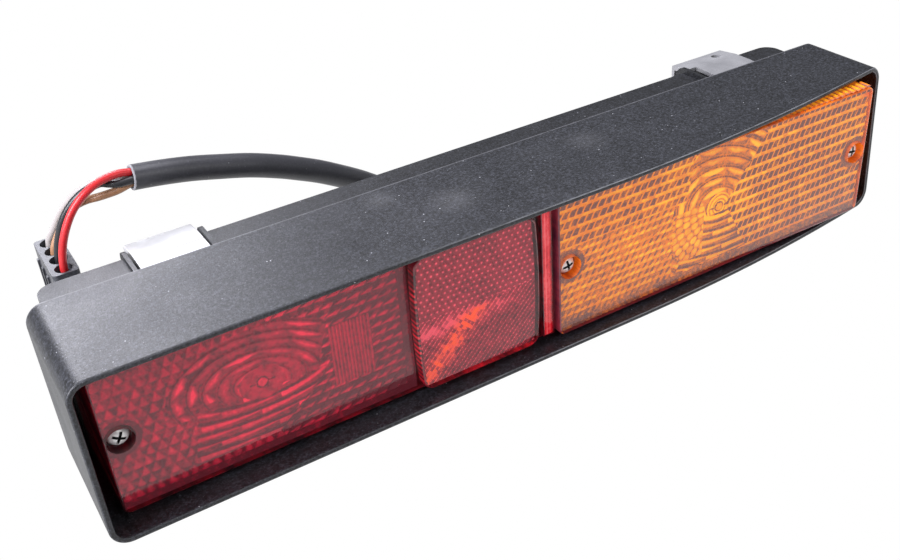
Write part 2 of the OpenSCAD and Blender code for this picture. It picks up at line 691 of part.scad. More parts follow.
// Leads inside the box, from the grommet to the contacts, in a high and a low row
lead_y = back_in_y - 3.6;
grommet_in_y = back_in_y - 1.8;
lead_off = 0.7*lead_d;
high_row = outlet_z + 2.6*lead_off;
low_row = outlet_z - 1.2*lead_off;
function lead_end(x) = [x, back_in_y - carrier_t - blade_t - lead_d/2, mid_z - cap_d/2 - 3.2];
// First two points of a lead that leaves the bore to one side (-1 left) and up or down
function lead_start(side, rise) = [
    [outlet_x + side*lead_off, grommet_in_y - lead_off/3, outlet_z + rise*lead_off],
    [outlet_x + 2.4*side*lead_off, lead_y, outlet_z + 1.4*rise*lead_off]];
module lead(route) { tube(route, lead_d, 8); }
module lead_stop() color("#d2262c") placed() {
    e = lead_end(tail_bulb_x + tail_pips[1]);
    lead(concat(lead_start(-1, 1), [[outlet_x - 6*lead_off, lead_y, high_row],
        [(outlet_x + e[0])/2, lead_y, high_row], [e[0] + 14*lead_off, lead_y, high_row],
        [e[0] + 3*lead_off, e[1], e[2] - 1.5*lead_off], [e[0] + 0.7*lead_off, e[1], e[2] - 0.35*lead_off]]));
}
module lead_tail() color("#8a5a33") placed() {
    e = lead_end(tail_bulb_x + tail_pips[0]);
    lead(concat(lead_start(-1, -1), [[outlet_x - 6*lead_off, lead_y, low_row],
        [(outlet_x + e[0])/2, lead_y, low_row], [e[0] + 14*lead_off, lead_y, low_row],
        [e[0] + 4*lead_off, e[1], e[2] - 4*lead_off], [e[0] + 0.6*lead_off, e[1], e[2] - 2.4*lead_off], e]));
}
module lead_turn() color("#e4e2de") placed() {
    e = lead_end(turn_bulb_x);
    lead(concat(lead_start(1, -1), [[outlet_x + 7*lead_off, lead_y, low_row],
        [e[0] - 14*lead_off, lead_y, low_row], [e[0] - 4*lead_off, e[1], e[2] - 1.8*lead_off],
        [e[0] - 0.7*lead_off, e[1], e[2] - 0.3*lead_off]]));
}
module lead_earth() color("#202124") placed() {
    e = [turn_bulb_x - cap_d/2 - 7*lead_off, back_in_y - strip_t - lead_d/2, strip_z + strip_w/2];
    lead(concat(lead_start(1, 1), [[outlet_x + 7*lead_off, lead_y, high_row],
        [e[0] - 8*lead_off, lead_y, high_row], [e[0] - 5*lead_off, e[1], high_row + 3*lead_off],
        [e[0] - 4*lead_off, e[1], e[2] - 4*lead_off], [e[0] - 2*lead_off, e[1], e[2] - lead_off], e]));
}

module cable_grommet() color("#17181a") placed() {
    bore = 4.2;
    turned(outlet_x, outlet_z) polygon([[bore, grommet_in_y], [neck_r + 2, grommet_in_y],
        [neck_r + 2, back_in_y], [neck_r, back_in_y], [neck_r, box_d], [neck_r + 2.6, box_d],
        [neck_r + 2.6, box_d + 2], [neck_r + 0.6, box_d + 3], [sleeve_d/2 + 0.6, grommet_tip_y],
        [bore, grommet_tip_y]]);
}

// In-line connector that stands on its mating end, wires out of the top
module connector_body() color("#2a2b2e") placed() {
    y0 = ways[0] - connector_end;
    y1 = ways[3] + connector_end;
    w = connector_w/2;
    shroud_h = 24;
    difference() {
        union() {
            linear_extrude(connector_top) round_rect(way_x - w, way_x + w, y0, y1, 2);
            linear_extrude(shroud_h) round_rect(way_x - w - 2, way_x + w + 2, y0 - 2, y1 + 2, 2.5);
            for (y = ways) for (s = [-1, 1])
                block([way_x + s*(w + 0.4) - 0.5, y - 1, shroud_h - eps],
                      [way_x + s*(w + 0.4) + 0.5, y + 1, connector_top - 6]);
            block([way_x - 3.5, y0 - 4, 6], [way_x + 3.5, y0, 34]);
        }
        for (y = ways) translate([way_x, y, seal_top - 4]) cylinder(r = 3.75, h = 20);
        for (y = ways) block([way_x - 0.9, y - 1.7, -1], [way_x + 0.9, y + 1.7, 12]);
    }
}
module connector_seals() color("#3a5a3c") placed() {
    for (y = ways) translate([way_x, y, seal_top - 4]) cylinder(r = 3.75, h = 4);
}

// Side view of a bracket behind the box: flange, web and flange
module strap_side() {
    t = strap_t;
    z = tongue_top;
    zw = tongue_top - strap_fall;
    y0 = box_d + 0.4;
    y1 = mount_y;
    polygon([[y0, z], [y1, zw], [y1, hood_h - zw], [y0, hood_h - z], [y0, hood_h - z + t],
        [y1 - t, hood_h - zw + t*1.05], [y1 - t, zw - t*1.05], [y0, z - t]]);
}
module bracket(x0, x1, tongue_x0, tongue, hole_x) {
    difference() {
        union() {
            translate([x0, 0, 0]) rotate([90, 0, 90]) linear_extrude(x1 - x0) strap_side();
            above_and_below() block([tongue_x0, fit_gap*2, tongue_top - strap_t],
                [tongue_x0 + tongue, box_d + 0.4 + eps, tongue_top]);
        }
        rod(hole_x, mid_z, mount_y - strap_t - 2, mount_y + 1, fix_hole_d/2);
    }
}
module bracket_left() color("#c4c7cb") placed() {
    bracket(left_strap_x0, left_strap_x0 + tongue_w, left_strap_x0, tongue_w, left_hole_x);
}
module bracket_right() color("#c4c7cb") placed() {
    difference() {
        bracket(right_strap_x0, right_strap_x1, right_tongue_x0, tongue_w_r, right_hole_x);
        translate([right_hole_x + 5, box_d + 6, mid_z]) cylinder(r = 2.5, h = hood_h);
    }
}

housing();
lens_gasket();
red_lens();
reflex_block();
amber_lens();
lens_screws();
tail_reflector();
turn_reflector();
tail_bulb_glass();
tail_bulb_cap();
turn_bulb_glass();
turn_bulb_cap();
tail_holder();
turn_holder();
tail_contact_carrier();
turn_contact_carrier();
tail_contacts();
turn_contact();
earth_strip();
lead_stop();
lead_tail();
lead_turn();
lead_earth();
cable_grommet();
cable_sleeve();
wire_red();
wire_black();
wire_brown();
wire_white();
connector_body();
connector_seals();
bracket_left();
bracket_right();
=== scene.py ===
# %% [markdown]
# # A rear lamp cluster, dressed for its portrait
# The packed CAD model comes in as a fixed frame, in metres. This script never moves it.
# It adds the things that solids can't show: optics seen through tinted plastic, grain,
# dust, plating and soft edges. Lengths below are in millimetres in the lamp's own
# workshop coordinates: X from the red end, Y from the hood's rear step (the lenses are
# at minus Y), and Z up from the underside. at() turns them into the frame's metres.

# %% Load the frame
import math
import bmesh
import bpy
import numpy as np
from mathutils import Matrix, Vector


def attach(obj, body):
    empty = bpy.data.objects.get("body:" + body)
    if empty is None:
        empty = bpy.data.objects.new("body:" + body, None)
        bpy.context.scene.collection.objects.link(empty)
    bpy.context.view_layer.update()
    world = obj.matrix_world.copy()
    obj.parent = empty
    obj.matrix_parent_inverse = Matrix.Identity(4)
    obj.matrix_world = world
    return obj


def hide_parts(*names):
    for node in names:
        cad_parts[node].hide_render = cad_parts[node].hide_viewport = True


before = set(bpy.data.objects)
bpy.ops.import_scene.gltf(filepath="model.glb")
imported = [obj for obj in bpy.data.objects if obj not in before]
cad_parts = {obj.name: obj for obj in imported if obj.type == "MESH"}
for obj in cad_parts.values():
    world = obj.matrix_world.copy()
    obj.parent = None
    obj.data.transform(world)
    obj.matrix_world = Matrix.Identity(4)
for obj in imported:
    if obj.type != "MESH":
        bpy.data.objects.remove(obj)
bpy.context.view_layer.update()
ORIGIN = Vector((205.0, 27.5, 37.5))


def at(x, y, z):
    """A point in workshop millimetres, as metres in the frame."""
    return (Vector((x, y, z)) - ORIGIN) / 1000


# %% [markdown]
# ## Camera
# The camera was found by fitting straight edges of the photograph: where it stands,
# how it is turned, and a lens of about 44 mm on a 36 mm wide sensor. A camera set by eye
# would drift by many pixels over a lamp this long, so the numbers are the fitted ones.

# %% Set the camera
scene = bpy.context.scene


def placed(name, data):
    """A new object that holds the data, linked into the scene."""
    thing = bpy.data.objects.new(name, data)
    scene.collection.objects.link(thing)
    return thing


camera_data = bpy.data.cameras.new("photo_camera")
camera_data.lens = 43.58
camera_data.sensor_width = 36
camera_data.clip_start = 0.01
camera = placed("photo_camera", camera_data)
right = Vector((0.8537, -0.5163, -0.0677)).normalized()
back = Vector((-0.4017, -0.7357, 0.5453)).normalized()
up = back.cross(right).normalized()
right = up.cross(back)
turn = Matrix((right, up, back)).transposed().to_4x4()
camera.matrix_world = Matrix.Translation(at(-22.3, -367.9, 289.7)) @ turn
scene.camera = camera
scene.view_settings.view_transform = "Standard"
print("camera stands at, mm:", [round(v * 1000, 1) for v in camera.matrix_world.translation])

# %% [markdown]
# ## Cable
# The sleeve leaves the grommet low on the back, swings out and climbs over the left
# bracket. Its four wires fan out to the connector, which stands on the table. A curve
# with a round bevel stays smooth and light, and its route can be read and mended. The
# points are the ones that the CAD tubes follow.

# %% Sleeve and wires
SLEEVE = [(235, 34, 21), (235, 39, 21), (234, 45, 20.5), (230.5, 53, 20), (223.5, 61, 20),
          (213.5, 67, 21), (202, 70, 24), (191, 70, 29), (180, 68, 36), (169, 66, 44),
          (158, 63, 51.5), (147, 60.5, 58.5), (137, 58.5, 64), (127, 57, 69), (113, 55, 75),
          (99, 53.5, 79.5), (85.5, 52, 83.5), (72, 50.5, 86.6), (60.4, 50, 88.4)]
WIRES = {
    "wire_red": [(60.8, 50, 90.9), (59.8, 50, 91.05), (54.5, 49.7, 92), (47, 49.5, 91),
                 (40.3, 49.5, 87.7), (34.5, 49.6, 82.6), (30, 49.8, 76), (26.6, 50, 68.5),
                 (24.6, 50, 61), (24, 50, 55), (24, 50, 54)],
    "wire_black": [(60.5, 47.5, 88.4), (59.5, 47.5, 88.55), (54.5, 49, 88), (50.8, 51.2, 88.2),
                   (47.3, 53, 88.6), (40.9, 54.6, 86.2), (35.2, 56.4, 81.6), (30.4, 57.7, 75.4),
                   (26.9, 58.3, 68), (24.7, 58.4, 61), (24, 58.4, 55), (24, 58.4, 54)],
    "wire_brown": [(60, 50, 85.9), (59, 50, 86.05), (53.5, 51.4, 84), (46.6, 54.8, 82),
                   (41.3, 58.8, 80.2), (36.6, 62.6, 77), (32.3, 65.3, 71.8), (28.4, 66.6, 65.5),
                   (25, 66.8, 59.8), (24, 66.8, 55), (24, 66.8, 54)],
    "wire_white": [(60.3, 52.5, 88.4), (59.3, 52.5, 88.55), (53.5, 55, 88.2), (46.4, 59.6, 86.3),
                   (40.4, 64, 82.6), (35.3, 68.2, 77), (30.8, 71.8, 70.2), (27.4, 74, 64),
                   (24.8, 75, 59.4), (24, 75.2, 55), (24, 75.2, 54)],
}
SLEEVE_RADIUS, WIRE_RADIUS = 5.48, 1.68


def smooth_path(points, per=5):
    """Points on a Catmull-Rom curve through the given ones, per of them to a stretch."""
    p = np.array(points, float)
    p = np.vstack([2 * p[0] - p[1], p, 2 * p[-1] - p[-2]])
    out = []
    for i in range(1, len(p) - 2):
        for t in np.linspace(0, 1, per, endpoint=False):
            a, b, c, d = p[i - 1], p[i], p[i + 1], p[i + 2]
            out.append(0.5 * (2 * b + (c - a) * t + (2 * a - 5 * b + 4 * c - d) * t**2
                              + (3 * b - a - 3 * c + d) * t**3))
    out.append(p[-2])
    return np.array(out)


def tube(name, points, radius_mm):
    """A round curve along the smooth path, and its length in metres."""
    path = smooth_path(points)
    data = bpy.data.curves.new(name, "CURVE")
    data.dimensions = "3D"
    data.bevel_depth = 1.0
    data.bevel_resolution = 6
    data.use_fill_caps = True
    spline = data.splines.new("POLY")
    spline.points.add(len(path) - 1)
    for point, xyz in zip(spline.points, path):
        point.co = (*at(*xyz), 1)
        point.radius = radius_mm / 1000
    spline.use_smooth = True
    piece = placed(name, data)
    length = float(np.linalg.norm(np.diff(path, axis=0), axis=1).sum()) / 1000
    return piece, length


sleeve, sleeve_length = tube("sleeve", SLEEVE, SLEEVE_RADIUS)
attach(sleeve, "root")
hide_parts("cable_sleeve")
wires = {}
for node, route in WIRES.items():
    wire, wire_length = tube("strand_" + node[5:], route, WIRE_RADIUS)
    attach(wire, "root")
    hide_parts(node)
    wires[node] = wire
    print(node, "is", round(wire_length * 1000), "mm long")
print("the sleeve is", round(sleeve_length * 1000), "mm long")

# %% [markdown]
# ## Workshop helpers for materials
# Each material is a small network of noise, specks and bumps on the shader's own
# sockets. Wiring one by hand takes many clicks, so a class gives each kind of node a
# short call. Object coordinates are metres, so a noise scale of 1000 has 1 mm features.

# %% Node helpers


class Net:
    """A material's node tree with short calls for the nodes this script uses."""

    def __init__(self, name):
        self.mat = bpy.data.materials.new(name)
        self.mat.use_nodes = True
        self.tree = self.mat.node_tree
        self.tree.nodes.clear()
        self.out = self.tree.nodes.new("ShaderNodeOutputMaterial")
        self.coord = self.tree.nodes.new("ShaderNodeTexCoord").outputs["Object"]

    def node(self, kind, inputs=None, **settings):
        """A new node. An input that is a socket is linked, and any other is set as a value."""
        n = self.tree.nodes.new(kind)
        for key, value in settings.items():
            setattr(n, key, value)
        for key, value in (inputs or {}).items():
            if isinstance(value, bpy.types.NodeSocket):
                self.tree.links.new(value, n.inputs[key])
            else:
                n.inputs[key].default_value = value
        return n

    def stretch(self, sx, sy, sz):
        """The place with each axis scaled, which draws a noise out into lines."""
        inputs = {"Vector": self.coord, "Scale": (sx, sy, sz)}
        return self.node("ShaderNodeMapping", inputs).outputs[0]

    def part(self, axis, vector=None):
        """One component of a vector, which is the place unless another is given."""
        return self.node("ShaderNodeSeparateXYZ", {0: vector or self.coord}).outputs[axis]

    def noise(self, scale, detail=3, rough=0.5, vector=None):
        inputs = {"Vector": vector or self.coord, "Scale": scale, "Detail": detail, "Roughness": rough}
        return self.node("ShaderNodeTexNoise", inputs).outputs["Fac"]

    def cells(self, scale):
        """Distance to the nearest of many scattered points."""
        inputs = {"Vector": self.coord, "Scale": scale}
        return self.node("ShaderNodeTexVoronoi", inputs).outputs["Distance"]

    def span(self, value, a, b, c=0.0, d=1.0):
        """Maps a to b onto c to d, and clamps."""
        return self.node("ShaderNodeMapRange", {"Value": value, "From Min": a, "From Max": b,
                                                "To Min": c, "To Max": d}).outputs[0]

    def math(self, op, a, b=0.0):
        return self.node("ShaderNodeMath", {0: a, 1: b}, operation=op).outputs[0]

    def mix(self, fac, a, b):
        """One colour mixed over another. The Mix node keeps its colours at 6 and 7."""
        n = self.node("ShaderNodeMix", data_type="RGBA")
        for index, value in ((0, fac), (6, a), (7, b)):
            if isinstance(value, bpy.types.NodeSocket):
                self.tree.links.new(value, n.inputs[index])
            else:
                n.inputs[index].default_value = (*value, 1) if index else value
        return n.outputs[2]

    def bump(self, height, distance_mm, strength, normal=None):
        inputs = {"Height": height, "Distance": distance_mm / 1000, "Strength": strength}
        if normal is not None:
            inputs["Normal"] = normal
        return self.node("ShaderNodeBump", inputs).outputs[0]

    def principled(self, **inputs):
        """The main shader, with the blanks in its inputs' names written as low lines."""
        named = {key.replace("_", " "): value for key, value in inputs.items()}
        return self.node("ShaderNodeBsdfPrincipled", named).outputs[0]

    def finish(self, shader):
        """Wires the shader to the output, and gives the material."""
        self.tree.links.new(shader, self.out.inputs["Surface"])
        return self.mat


print("a material can be wired with", len([k for k in vars(Net) if k[0] != "_"]), "short calls")

# %% [markdown]
# ## Moulded plastic and rubber
# A black moulding is never one flat black. Its skin has a fine grain that greys where
# light skims it, and dust settles on it. On the hood, painted highlights run along the
# rear step and the rim, with painted shade behind the step. Each of these could be
# painted on a picture. A layer of noise that mixes a second colour in is sharp at any
# distance instead, and one recipe serves the hood, the connector and every rubber piece.

# %% Moulded plastic and rubber
DUST = (0.62, 0.63, 0.66)
SMUDGE = (0.3, 0.3, 0.31)
# The first of the next three colours is both the dark pits of the grain and painted shade behind the rear
# step. The other two are painted highlights, on that step and on the rim.
PIT_AND_STEP_SHADE = (0.002, 0.002, 0.002)
STEP_HIGHLIGHT = (0.16, 0.16, 0.17)
RIM_HIGHLIGHT = (0.28, 0.285, 0.3)


def speckled(n, colour, light, amount):
    """Fine pale grains, with dark pits between them."""
    pale = tuple(3.4 * v + 0.01 for v in light)
    grains = n.span(n.noise(950, 3, 0.75), 0.46, 0.68)
    colour = n.mix(n.math("MULTIPLY", grains, amount), colour, pale)
    pits = n.span(n.noise(700, 2, 0.7, n.stretch(1, 1.3, 1)), 0.38, 0.5, amount, 0)
    return n.mix(pits, colour, PIT_AND_STEP_SHADE)


def smudged(n, colour, place, radius_mm, amount):
    """A dull spot that fades outwards."""
    away = n.node("ShaderNodeVectorMath", {0: n.coord, 1: at(*place)}, operation="DISTANCE")
    spot = n.span(away.outputs["Value"], 0.0002 * radius_mm, 0.001 * radius_mm, amount, 0.0)
    return n.mix(n.math("MULTIPLY", spot, n.noise(160, 4, 0.7)), colour, SMUDGE)


def dusty(n, colour, amount):
    """Pale specks of two sizes, here and there."""
    large = n.span(n.cells(230), 0.075, 0.035)
    small = n.math("MULTIPLY", n.span(n.cells(620), 0.11, 0.05), 0.45)
    rare = n.span(n.noise(60, 2), 0.46, 0.6)
    dust = n.math("MULTIPLY", n.math("MAXIMUM", large, small), rare)
    return n.mix(n.math("MULTIPLY", dust, amount), colour, DUST)


def painted_step_and_rim_light(n, colour, painted_step_y):
    """Painted light: a painted highlight line across the top at painted_step_y, painted shade over
    everything behind it, and a patchy painted highlight on the rim, stronger to the right.
    """
    y, start = n.part("Y"), at(0, painted_step_y, 0).y
    # Painted highlight in a thin line along the step, and painted shade over the rear box behind it.
    in_front = n.span(y, start - 0.0009, start - 0.0003)
    line = n.math("MULTIPLY", in_front, n.span(y, start, start + 0.0004, 1, 0))
    colour = n.mix(n.span(y, start, start + 0.0004, 0, 0.4), colour, PIT_AND_STEP_SHADE)
    colour = n.mix(n.math("MULTIPLY", line, n.noise(200, 3, 0.7)), colour, STEP_HIGHLIGHT)
    # Painted highlight on the rim's slanted faces, patchy and stronger to the right.
    facing = n.part("Y", n.node("ShaderNodeNewGeometry").outputs["True Normal"])
    squared = n.math("MULTIPLY", facing, facing)
    slanted = n.math("SUBTRACT", 0.5, n.math("ABSOLUTE", n.math("SUBTRACT", squared, 0.5)))
    to_right = n.span(n.part("X"), -0.09, 0.03, 0.1, 0.8)
    highlighted = n.math("MULTIPLY", n.span(slanted, 0.1, 0.2), to_right)
    patchy = n.span(n.noise(120, 3), 0.3, 0.6, 0.4, 1)
    return n.mix(n.math("MULTIPLY", highlighted, patchy), colour, RIM_HIGHLIGHT)


def moulded(name, dark, light, rough, grain_mm, grain, speckle=0.0, specks=0.0, smudges=(), painted_step_y=None):
    """Mottled colour and a fine grain, under the layers that are asked for.

    speckle and specks are amounts, and each of the smudges is a place, a radius and an
    amount. painted_step_y is where a painted highlight line runs across the top, with
    painted shade behind it, and it also adds a painted highlight along the rim."""
    n = Net(name)
    cloud = n.noise(28, 4, 0.6)
    fine = n.noise(1000 / grain_mm, 2)
    colour = n.mix(n.span(cloud, 0.3, 0.7), dark, light)
    if speckle:
        colour = speckled(n, colour, light, speckle)
    for place, radius_mm, amount in smudges:
        colour = smudged(n, colour, place, radius_mm, amount)
    if specks:
        colour = dusty(n, colour, specks)
    # Painted highlights along the step and the rim, and painted shade behind the step.
    if painted_step_y is not None:
        colour = painted_step_and_rim_light(n, colour, painted_step_y)
    uneven = n.math("ADD", n.math("MULTIPLY", cloud, 0.7), n.math("MULTIPLY", fine, 0.3))
    normal = n.bump(fine, grain, 0.7, n.bump(cloud, 0.15, 0.25))
    roughness = n.span(uneven, 0.3, 0.7, *rough)
    return n.finish(n.principled(Base_Color=colour, Roughness=roughness, Normal=normal))


print("dust is mixed in as", DUST, "and worn plastic as", RIM_HIGHLIGHT)

# %% [markdown]
# ## Metal
# Zinc plate, brass and the bright trays share one recipe: drawn lines from a stretched
# noise, cloudy patches, and a roughness that follows both. The zinc in the photograph
# mirrors a white tent on every side. This scene has no tent, and a low metallic share
# gives the same pale look.

# %% Plated metal
def plated(name, dark, light, rough, brushed=(1, 1, 1), metal=1.0, fold_y=None):
    """Metal with drawn marks and cloudy patches. fold_y is where a press left a crease across it, and
    painted shade darkens a thin line along it.
    """
    n = Net(name)
    lines = n.noise(700, 3, 0.6, n.stretch(*brushed))
    cloud = n.noise(90, 3)
    colour = n.mix(n.span(cloud, 0.3, 0.7), dark, light)
    if fold_y is not None:
        # Painted shade in a thin line along the crease.
        away = n.math("ABSOLUTE", n.math("SUBTRACT", n.part("Y"), at(0, fold_y, 0).y))
        shadow = tuple(0.3 * v for v in dark)
        colour = n.mix(n.span(away, 0.0002, 0.0005, 0.8, 0), colour, shadow)
    uneven = n.math("ADD", n.math("MULTIPLY", lines, 0.5), n.math("MULTIPLY", cloud, 0.5))
    roughness = n.span(uneven, 0.3, 0.7, *rough)
    normal = n.bump(lines, 0.01, 0.6)
    return n.finish(n.principled(Base_Color=colour, Metallic=metal, Roughness=roughness, Normal=normal))


print("plated() is ready for zinc, brass, steel and the bright trays")

# %% [markdown]
# ## Lens plastic and glass
# A lens is dyed acrylic. The eye sees a thin reflection on its polished face, and light
# caught in the colour behind it. True refraction through hundreds of prisms is slow and
# noisy, so a coat that mirrors more at a slant is laid over plain layers: see-through on
# the face, dyed and slightly glowing in the walls.

# %% Coated plastic and glass
def coated(name, under, shine_rough=0.05, dust=0.35):
    """Lays a glossy coat with smears and dust over the shader that under(net) makes."""
    n = Net(name)
    smear = n.noise(45, 4, 0.65)
    normal = n.bump(n.noise(260, 2), 0.008, 0.4)
    rough = n.span(smear, 0.4, 0.75, shine_rough, shine_rough + 0.12)
    inputs = {"Color": (1, 1, 1, 1), "Roughness": rough, "Normal": normal}
    shine = n.node("ShaderNodeBsdfGlossy", inputs).outputs[0]
    fresnel = n.node("ShaderNodeFresnel", {"IOR": 1.49, "Normal": normal}).outputs[0]
    outside = n.math("SUBTRACT", 1.0, n.node("ShaderNodeNewGeometry").outputs["Backfacing"])
    amount = n.math("MULTIPLY", fresnel, outside)
    wet = n.node("ShaderNodeMixShader", {0: amount, 1: under(n), 2: shine}).outputs[0]
    rare = n.span(n.noise(70, 2), 0.5, 0.62, 0, dust)
    speck = n.math("MULTIPLY", n.span(n.cells(420), 0.09, 0.04), rare)
    lint = n.node("ShaderNodeBsdfDiffuse", {"Color": (0.85, 0.8, 0.8, 1)}).outputs[0]
    return n.finish(n.node("ShaderNodeMixShader", {0: speck, 1: wet, 2: lint}).outputs[0])


def see_through(n, tint, body, share):
    """A clear tint with some of a cloudy body mixed in."""
    through = n.node("ShaderNodeBsdfTransparent", {"Color": (*tint, 1)}).outputs[0]
    cloudy = n.node("ShaderNodeBsdfDiffuse", {"Color": (*body, 1)}).outputs[0]
    return n.node("ShaderNodeMixShader", {0: share, 1: through, 2: cloudy}).outputs[0]


def clear_coat(name, tint, haze, share):
    """The polished face of a lens: nearly clear, so that the prisms under it are seen."""

    def under(n):
        patchy = n.span(n.noise(18, 3), 0.35, 0.7, 0.4 * share, 1.6 * share)
        return see_through(n, tint, haze, patchy)

    return coated(name, under)


def dyed_wall(name, deep, lit, glow, teeth_mm=0.0):
    """The side walls and wells of a lens: thick dyed plastic with light caught in it.

    teeth_mm is the pitch of the prisms that show through a wall as bright teeth."""

    def under(n):
        streak = n.noise(130, 4, 0.7, n.stretch(1, 0.25, 1))
        colour = n.mix(n.span(streak, 0.4, 0.66), deep, lit)
        if teeth_mm:
            tooth = n.math("FRACT", n.math("MULTIPLY", n.part("Z"), 1000 / teeth_mm))
            colour = n.mix(n.span(tooth, 0.35, 0.6), colour, tuple(0.25 * v for v in deep))
        return n.principled(Base_Color=colour, Roughness=0.3, Emission_Color=colour,
                            Emission_Strength=glow)

    return coated(name, under, 0.06, 0.2)


def glass(name, tint, share):
    """Thin blown glass, free of dust."""
    return coated(name, lambda n: see_through(n, tint, tint, share), 0.02, 0.0)


print("the lenses' coat, walls and glass are ready")

# %% [markdown]
# ## The finish of the prisms
# Each prism sends the light its own way, so neighbours differ sharply in tone. The
# relief carries a tone at each of its points, and this finish turns it into one of three
# colours, with a fourth, warmer one mixed in where the attribute warm asks for it. Some
# glow stands for the light that a real lens gathers from behind.

# %% Prisms
OPTIC_GLOW = 0.5


def optic(name, dark, middle, bright, warm):
    """Prisms inside a lens. Each point has a tone from dark to bright, and may be warm too."""
    n = Net(name)
    tone = n.node("ShaderNodeAttribute", attribute_name="tone").outputs["Fac"]
    heat = n.node("ShaderNodeAttribute", attribute_name="warm").outputs["Fac"]
    tone = n.math("ADD", tone, n.span(n.noise(520, 3, 0.6), 0.3, 0.7, -0.13, 0.13))
    tone = n.math("ADD", tone, n.span(n.noise(85, 3, 0.6), 0.3, 0.7, -0.08, 0.08))
    low = n.mix(n.span(tone, 0.1, 0.45), dark, middle)
    colour = n.mix(n.span(tone, 0.5, 0.95), low, bright)
    colour = n.mix(n.math("MULTIPLY", heat, n.span(tone, 0.2, 0.8)), colour, warm)
    normal = n.bump(n.noise(900, 2), 0.02, 0.4)
    return n.finish(n.principled(Base_Color=colour, Roughness=0.3, Specular_IOR_Level=0.25,
                                 Emission_Color=colour, Emission_Strength=OPTIC_GLOW, Normal=normal))


print("the prisms glow at a strength of", OPTIC_GLOW)

# %% [markdown]
# ## Softened copies of the CAD solids
# A moulded or pressed edge is never sharp, and its small radius catches a line of light.
# The CAD solid already has the right shape, so a copy of it gets a bevel where its faces
# meet at a clear angle. The long lip of the hood needs a wider, even radius, which is cut
# into the mesh itself.

# %% Pieces and soft edges


def smooth_faces(mesh):
    """Shades every face smooth."""
    for polygon in mesh.polygons:
        polygon.use_smooth = True


def to_mesh(bm, name):
    """The edited mesh as new mesh data."""
    mesh = bpy.data.meshes.new(name)
    bm.to_mesh(mesh)
    bm.free()
    return mesh


def add_mesh(name, mesh, material, slot, *nodes):
    """A piece of the scene with one material, which may take the place of CAD nodes."""
    piece = placed(name, mesh)
    mesh.materials.clear()
    mesh.materials.append(material)
    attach(piece, "root")
    if nodes:
        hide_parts(*nodes)
    return piece


def round_rim(bm, front_y, width_mm):
    """Rounds the edges of the faces that look forward and lie in front of front_y."""
    limit = at(0, front_y, 0).y
    faces = {f for f in bm.faces if f.normal.y < -0.6 and f.calc_center_median().y < limit}
    sharp = [e for e in bm.edges if len(e.link_faces) == 2 and e.calc_face_angle(0) > math.radians(45)]
    edges = [e for e in sharp if len(faces.intersection(e.link_faces)) == 1]
    bmesh.ops.bevel(bm, geom=edges, offset=width_mm / 1000, segments=3, affect="EDGES", profile=0.5,
                    clamp_overlap=False)
    return len(edges)


def soft_copy(node, name, material, slot, edge_mm, segments=2, angle=40, rim=None):
    """A copy of a CAD solid with its sharp edges rounded. rim is what round_rim is told."""
    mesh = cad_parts[node].data.copy()
    bm = bmesh.new()
    bm.from_mesh(mesh)
    bmesh.ops.remove_doubles(bm, verts=bm.verts, dist=2e-6)
    bmesh.ops.dissolve_limit(bm, angle_limit=math.radians(0.5), verts=bm.verts, edges=bm.edges)
    if rim:
        print(round_rim(bm, *rim), "edges of the rim are rounded")
    bm.to_mesh(mesh)
    bm.free()
    piece = add_mesh(name, mesh, material, slot, node)
    bevel = piece.modifiers.new("edges", "BEVEL")
    bevel.width = edge_mm / 1000
    bevel.segments = segments
    bevel.limit_method = "ANGLE"
    bevel.angle_limit = math.radians(angle)
    smooth_faces(mesh)
    smooth = piece.modifiers.new("normals", "WEIGHTED_NORMAL")
    smooth.keep_sharp = False


def dress(node, material, edge_mm=0.0):
    """Gives a CAD node its finish, and rounds its edges by a modifier if asked to."""
    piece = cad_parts[node]
    piece.data.materials.clear()
    piece.data.materials.append(material)
    if edge_mm:
        weld = piece.modifiers.new("weld", "WELD")
        weld.merge_threshold = 2e-6
        bevel = piece.modifiers.new("edges", "BEVEL")
        bevel.width = edge_mm / 1000
        bevel.segments = 2
        bevel.limit_method = "ANGLE"
        bevel.angle_limit = math.radians(50)


print("the frame has", len(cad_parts), "CAD pieces to dress")

# %% [markdown]
# ## Blocks with a rounded outline
# The two lenses, the strip and the reflex block are thick plates with rounded corners,
# and the lenses have round wells for their screws. An outline is raised to a block and
# its front edge is rounded. The wells are cut by an exact Boolean, which keeps their
# walls clean.

# %% Outlines, wells and blocks
def outline(x0, x1, z0, z1, r, n=6):
    """A rounded rectangle as points in X and Z."""
    points = []
    corners = ((x1 - r, z0 + r, -90), (x1 - r, z1 - r, 0), (x0 + r, z1 - r, 90), (x0 + r, z0 + r, 180))
    for cx, cz, start in corners:
        for k in range(n + 1):
            a = math.radians(start + 90 * k / n)
            points.append((cx + r * math.cos(a), cz + r * math.sin(a)))
    return points


def carve(mesh, cutters):
    """The mesh with each cutter's space taken out."""
    work = placed("work", mesh)
    tools = []
    for cutter in cutters:
        tool = placed("tool", cutter)
        cut = work.modifiers.new("cut", "BOOLEAN")
        cut.operation = "DIFFERENCE"
        cut.object = tool
        cut.solver = "EXACT"
        tools.append(tool)
    bpy.context.view_layer.update()
    evaluated = work.evaluated_get(bpy.context.evaluated_depsgraph_get())
    cut_mesh = bpy.data.meshes.new_from_object(evaluated)
    for thing in [work, *tools]:
        bpy.data.objects.remove(thing, do_unlink=True)
    return cut_mesh


def well(x, z, radius, y, depth):
    """A round cutter that sinks a well of that depth into the face at y."""
    bm = bmesh.new()
    proud = 5
    middle = at(x, y + (depth - proud) / 2, z)
    place = Matrix.Translation(middle) @ Matrix.Rotation(math.pi / 2, 4, "X")
    bmesh.ops.create_cone(bm, cap_ends=True, segments=48, radius1=radius / 1000, radius2=radius / 1000,
                          depth=(depth + proud) / 1000, matrix=place)
    return to_mesh(bm, "cutter")


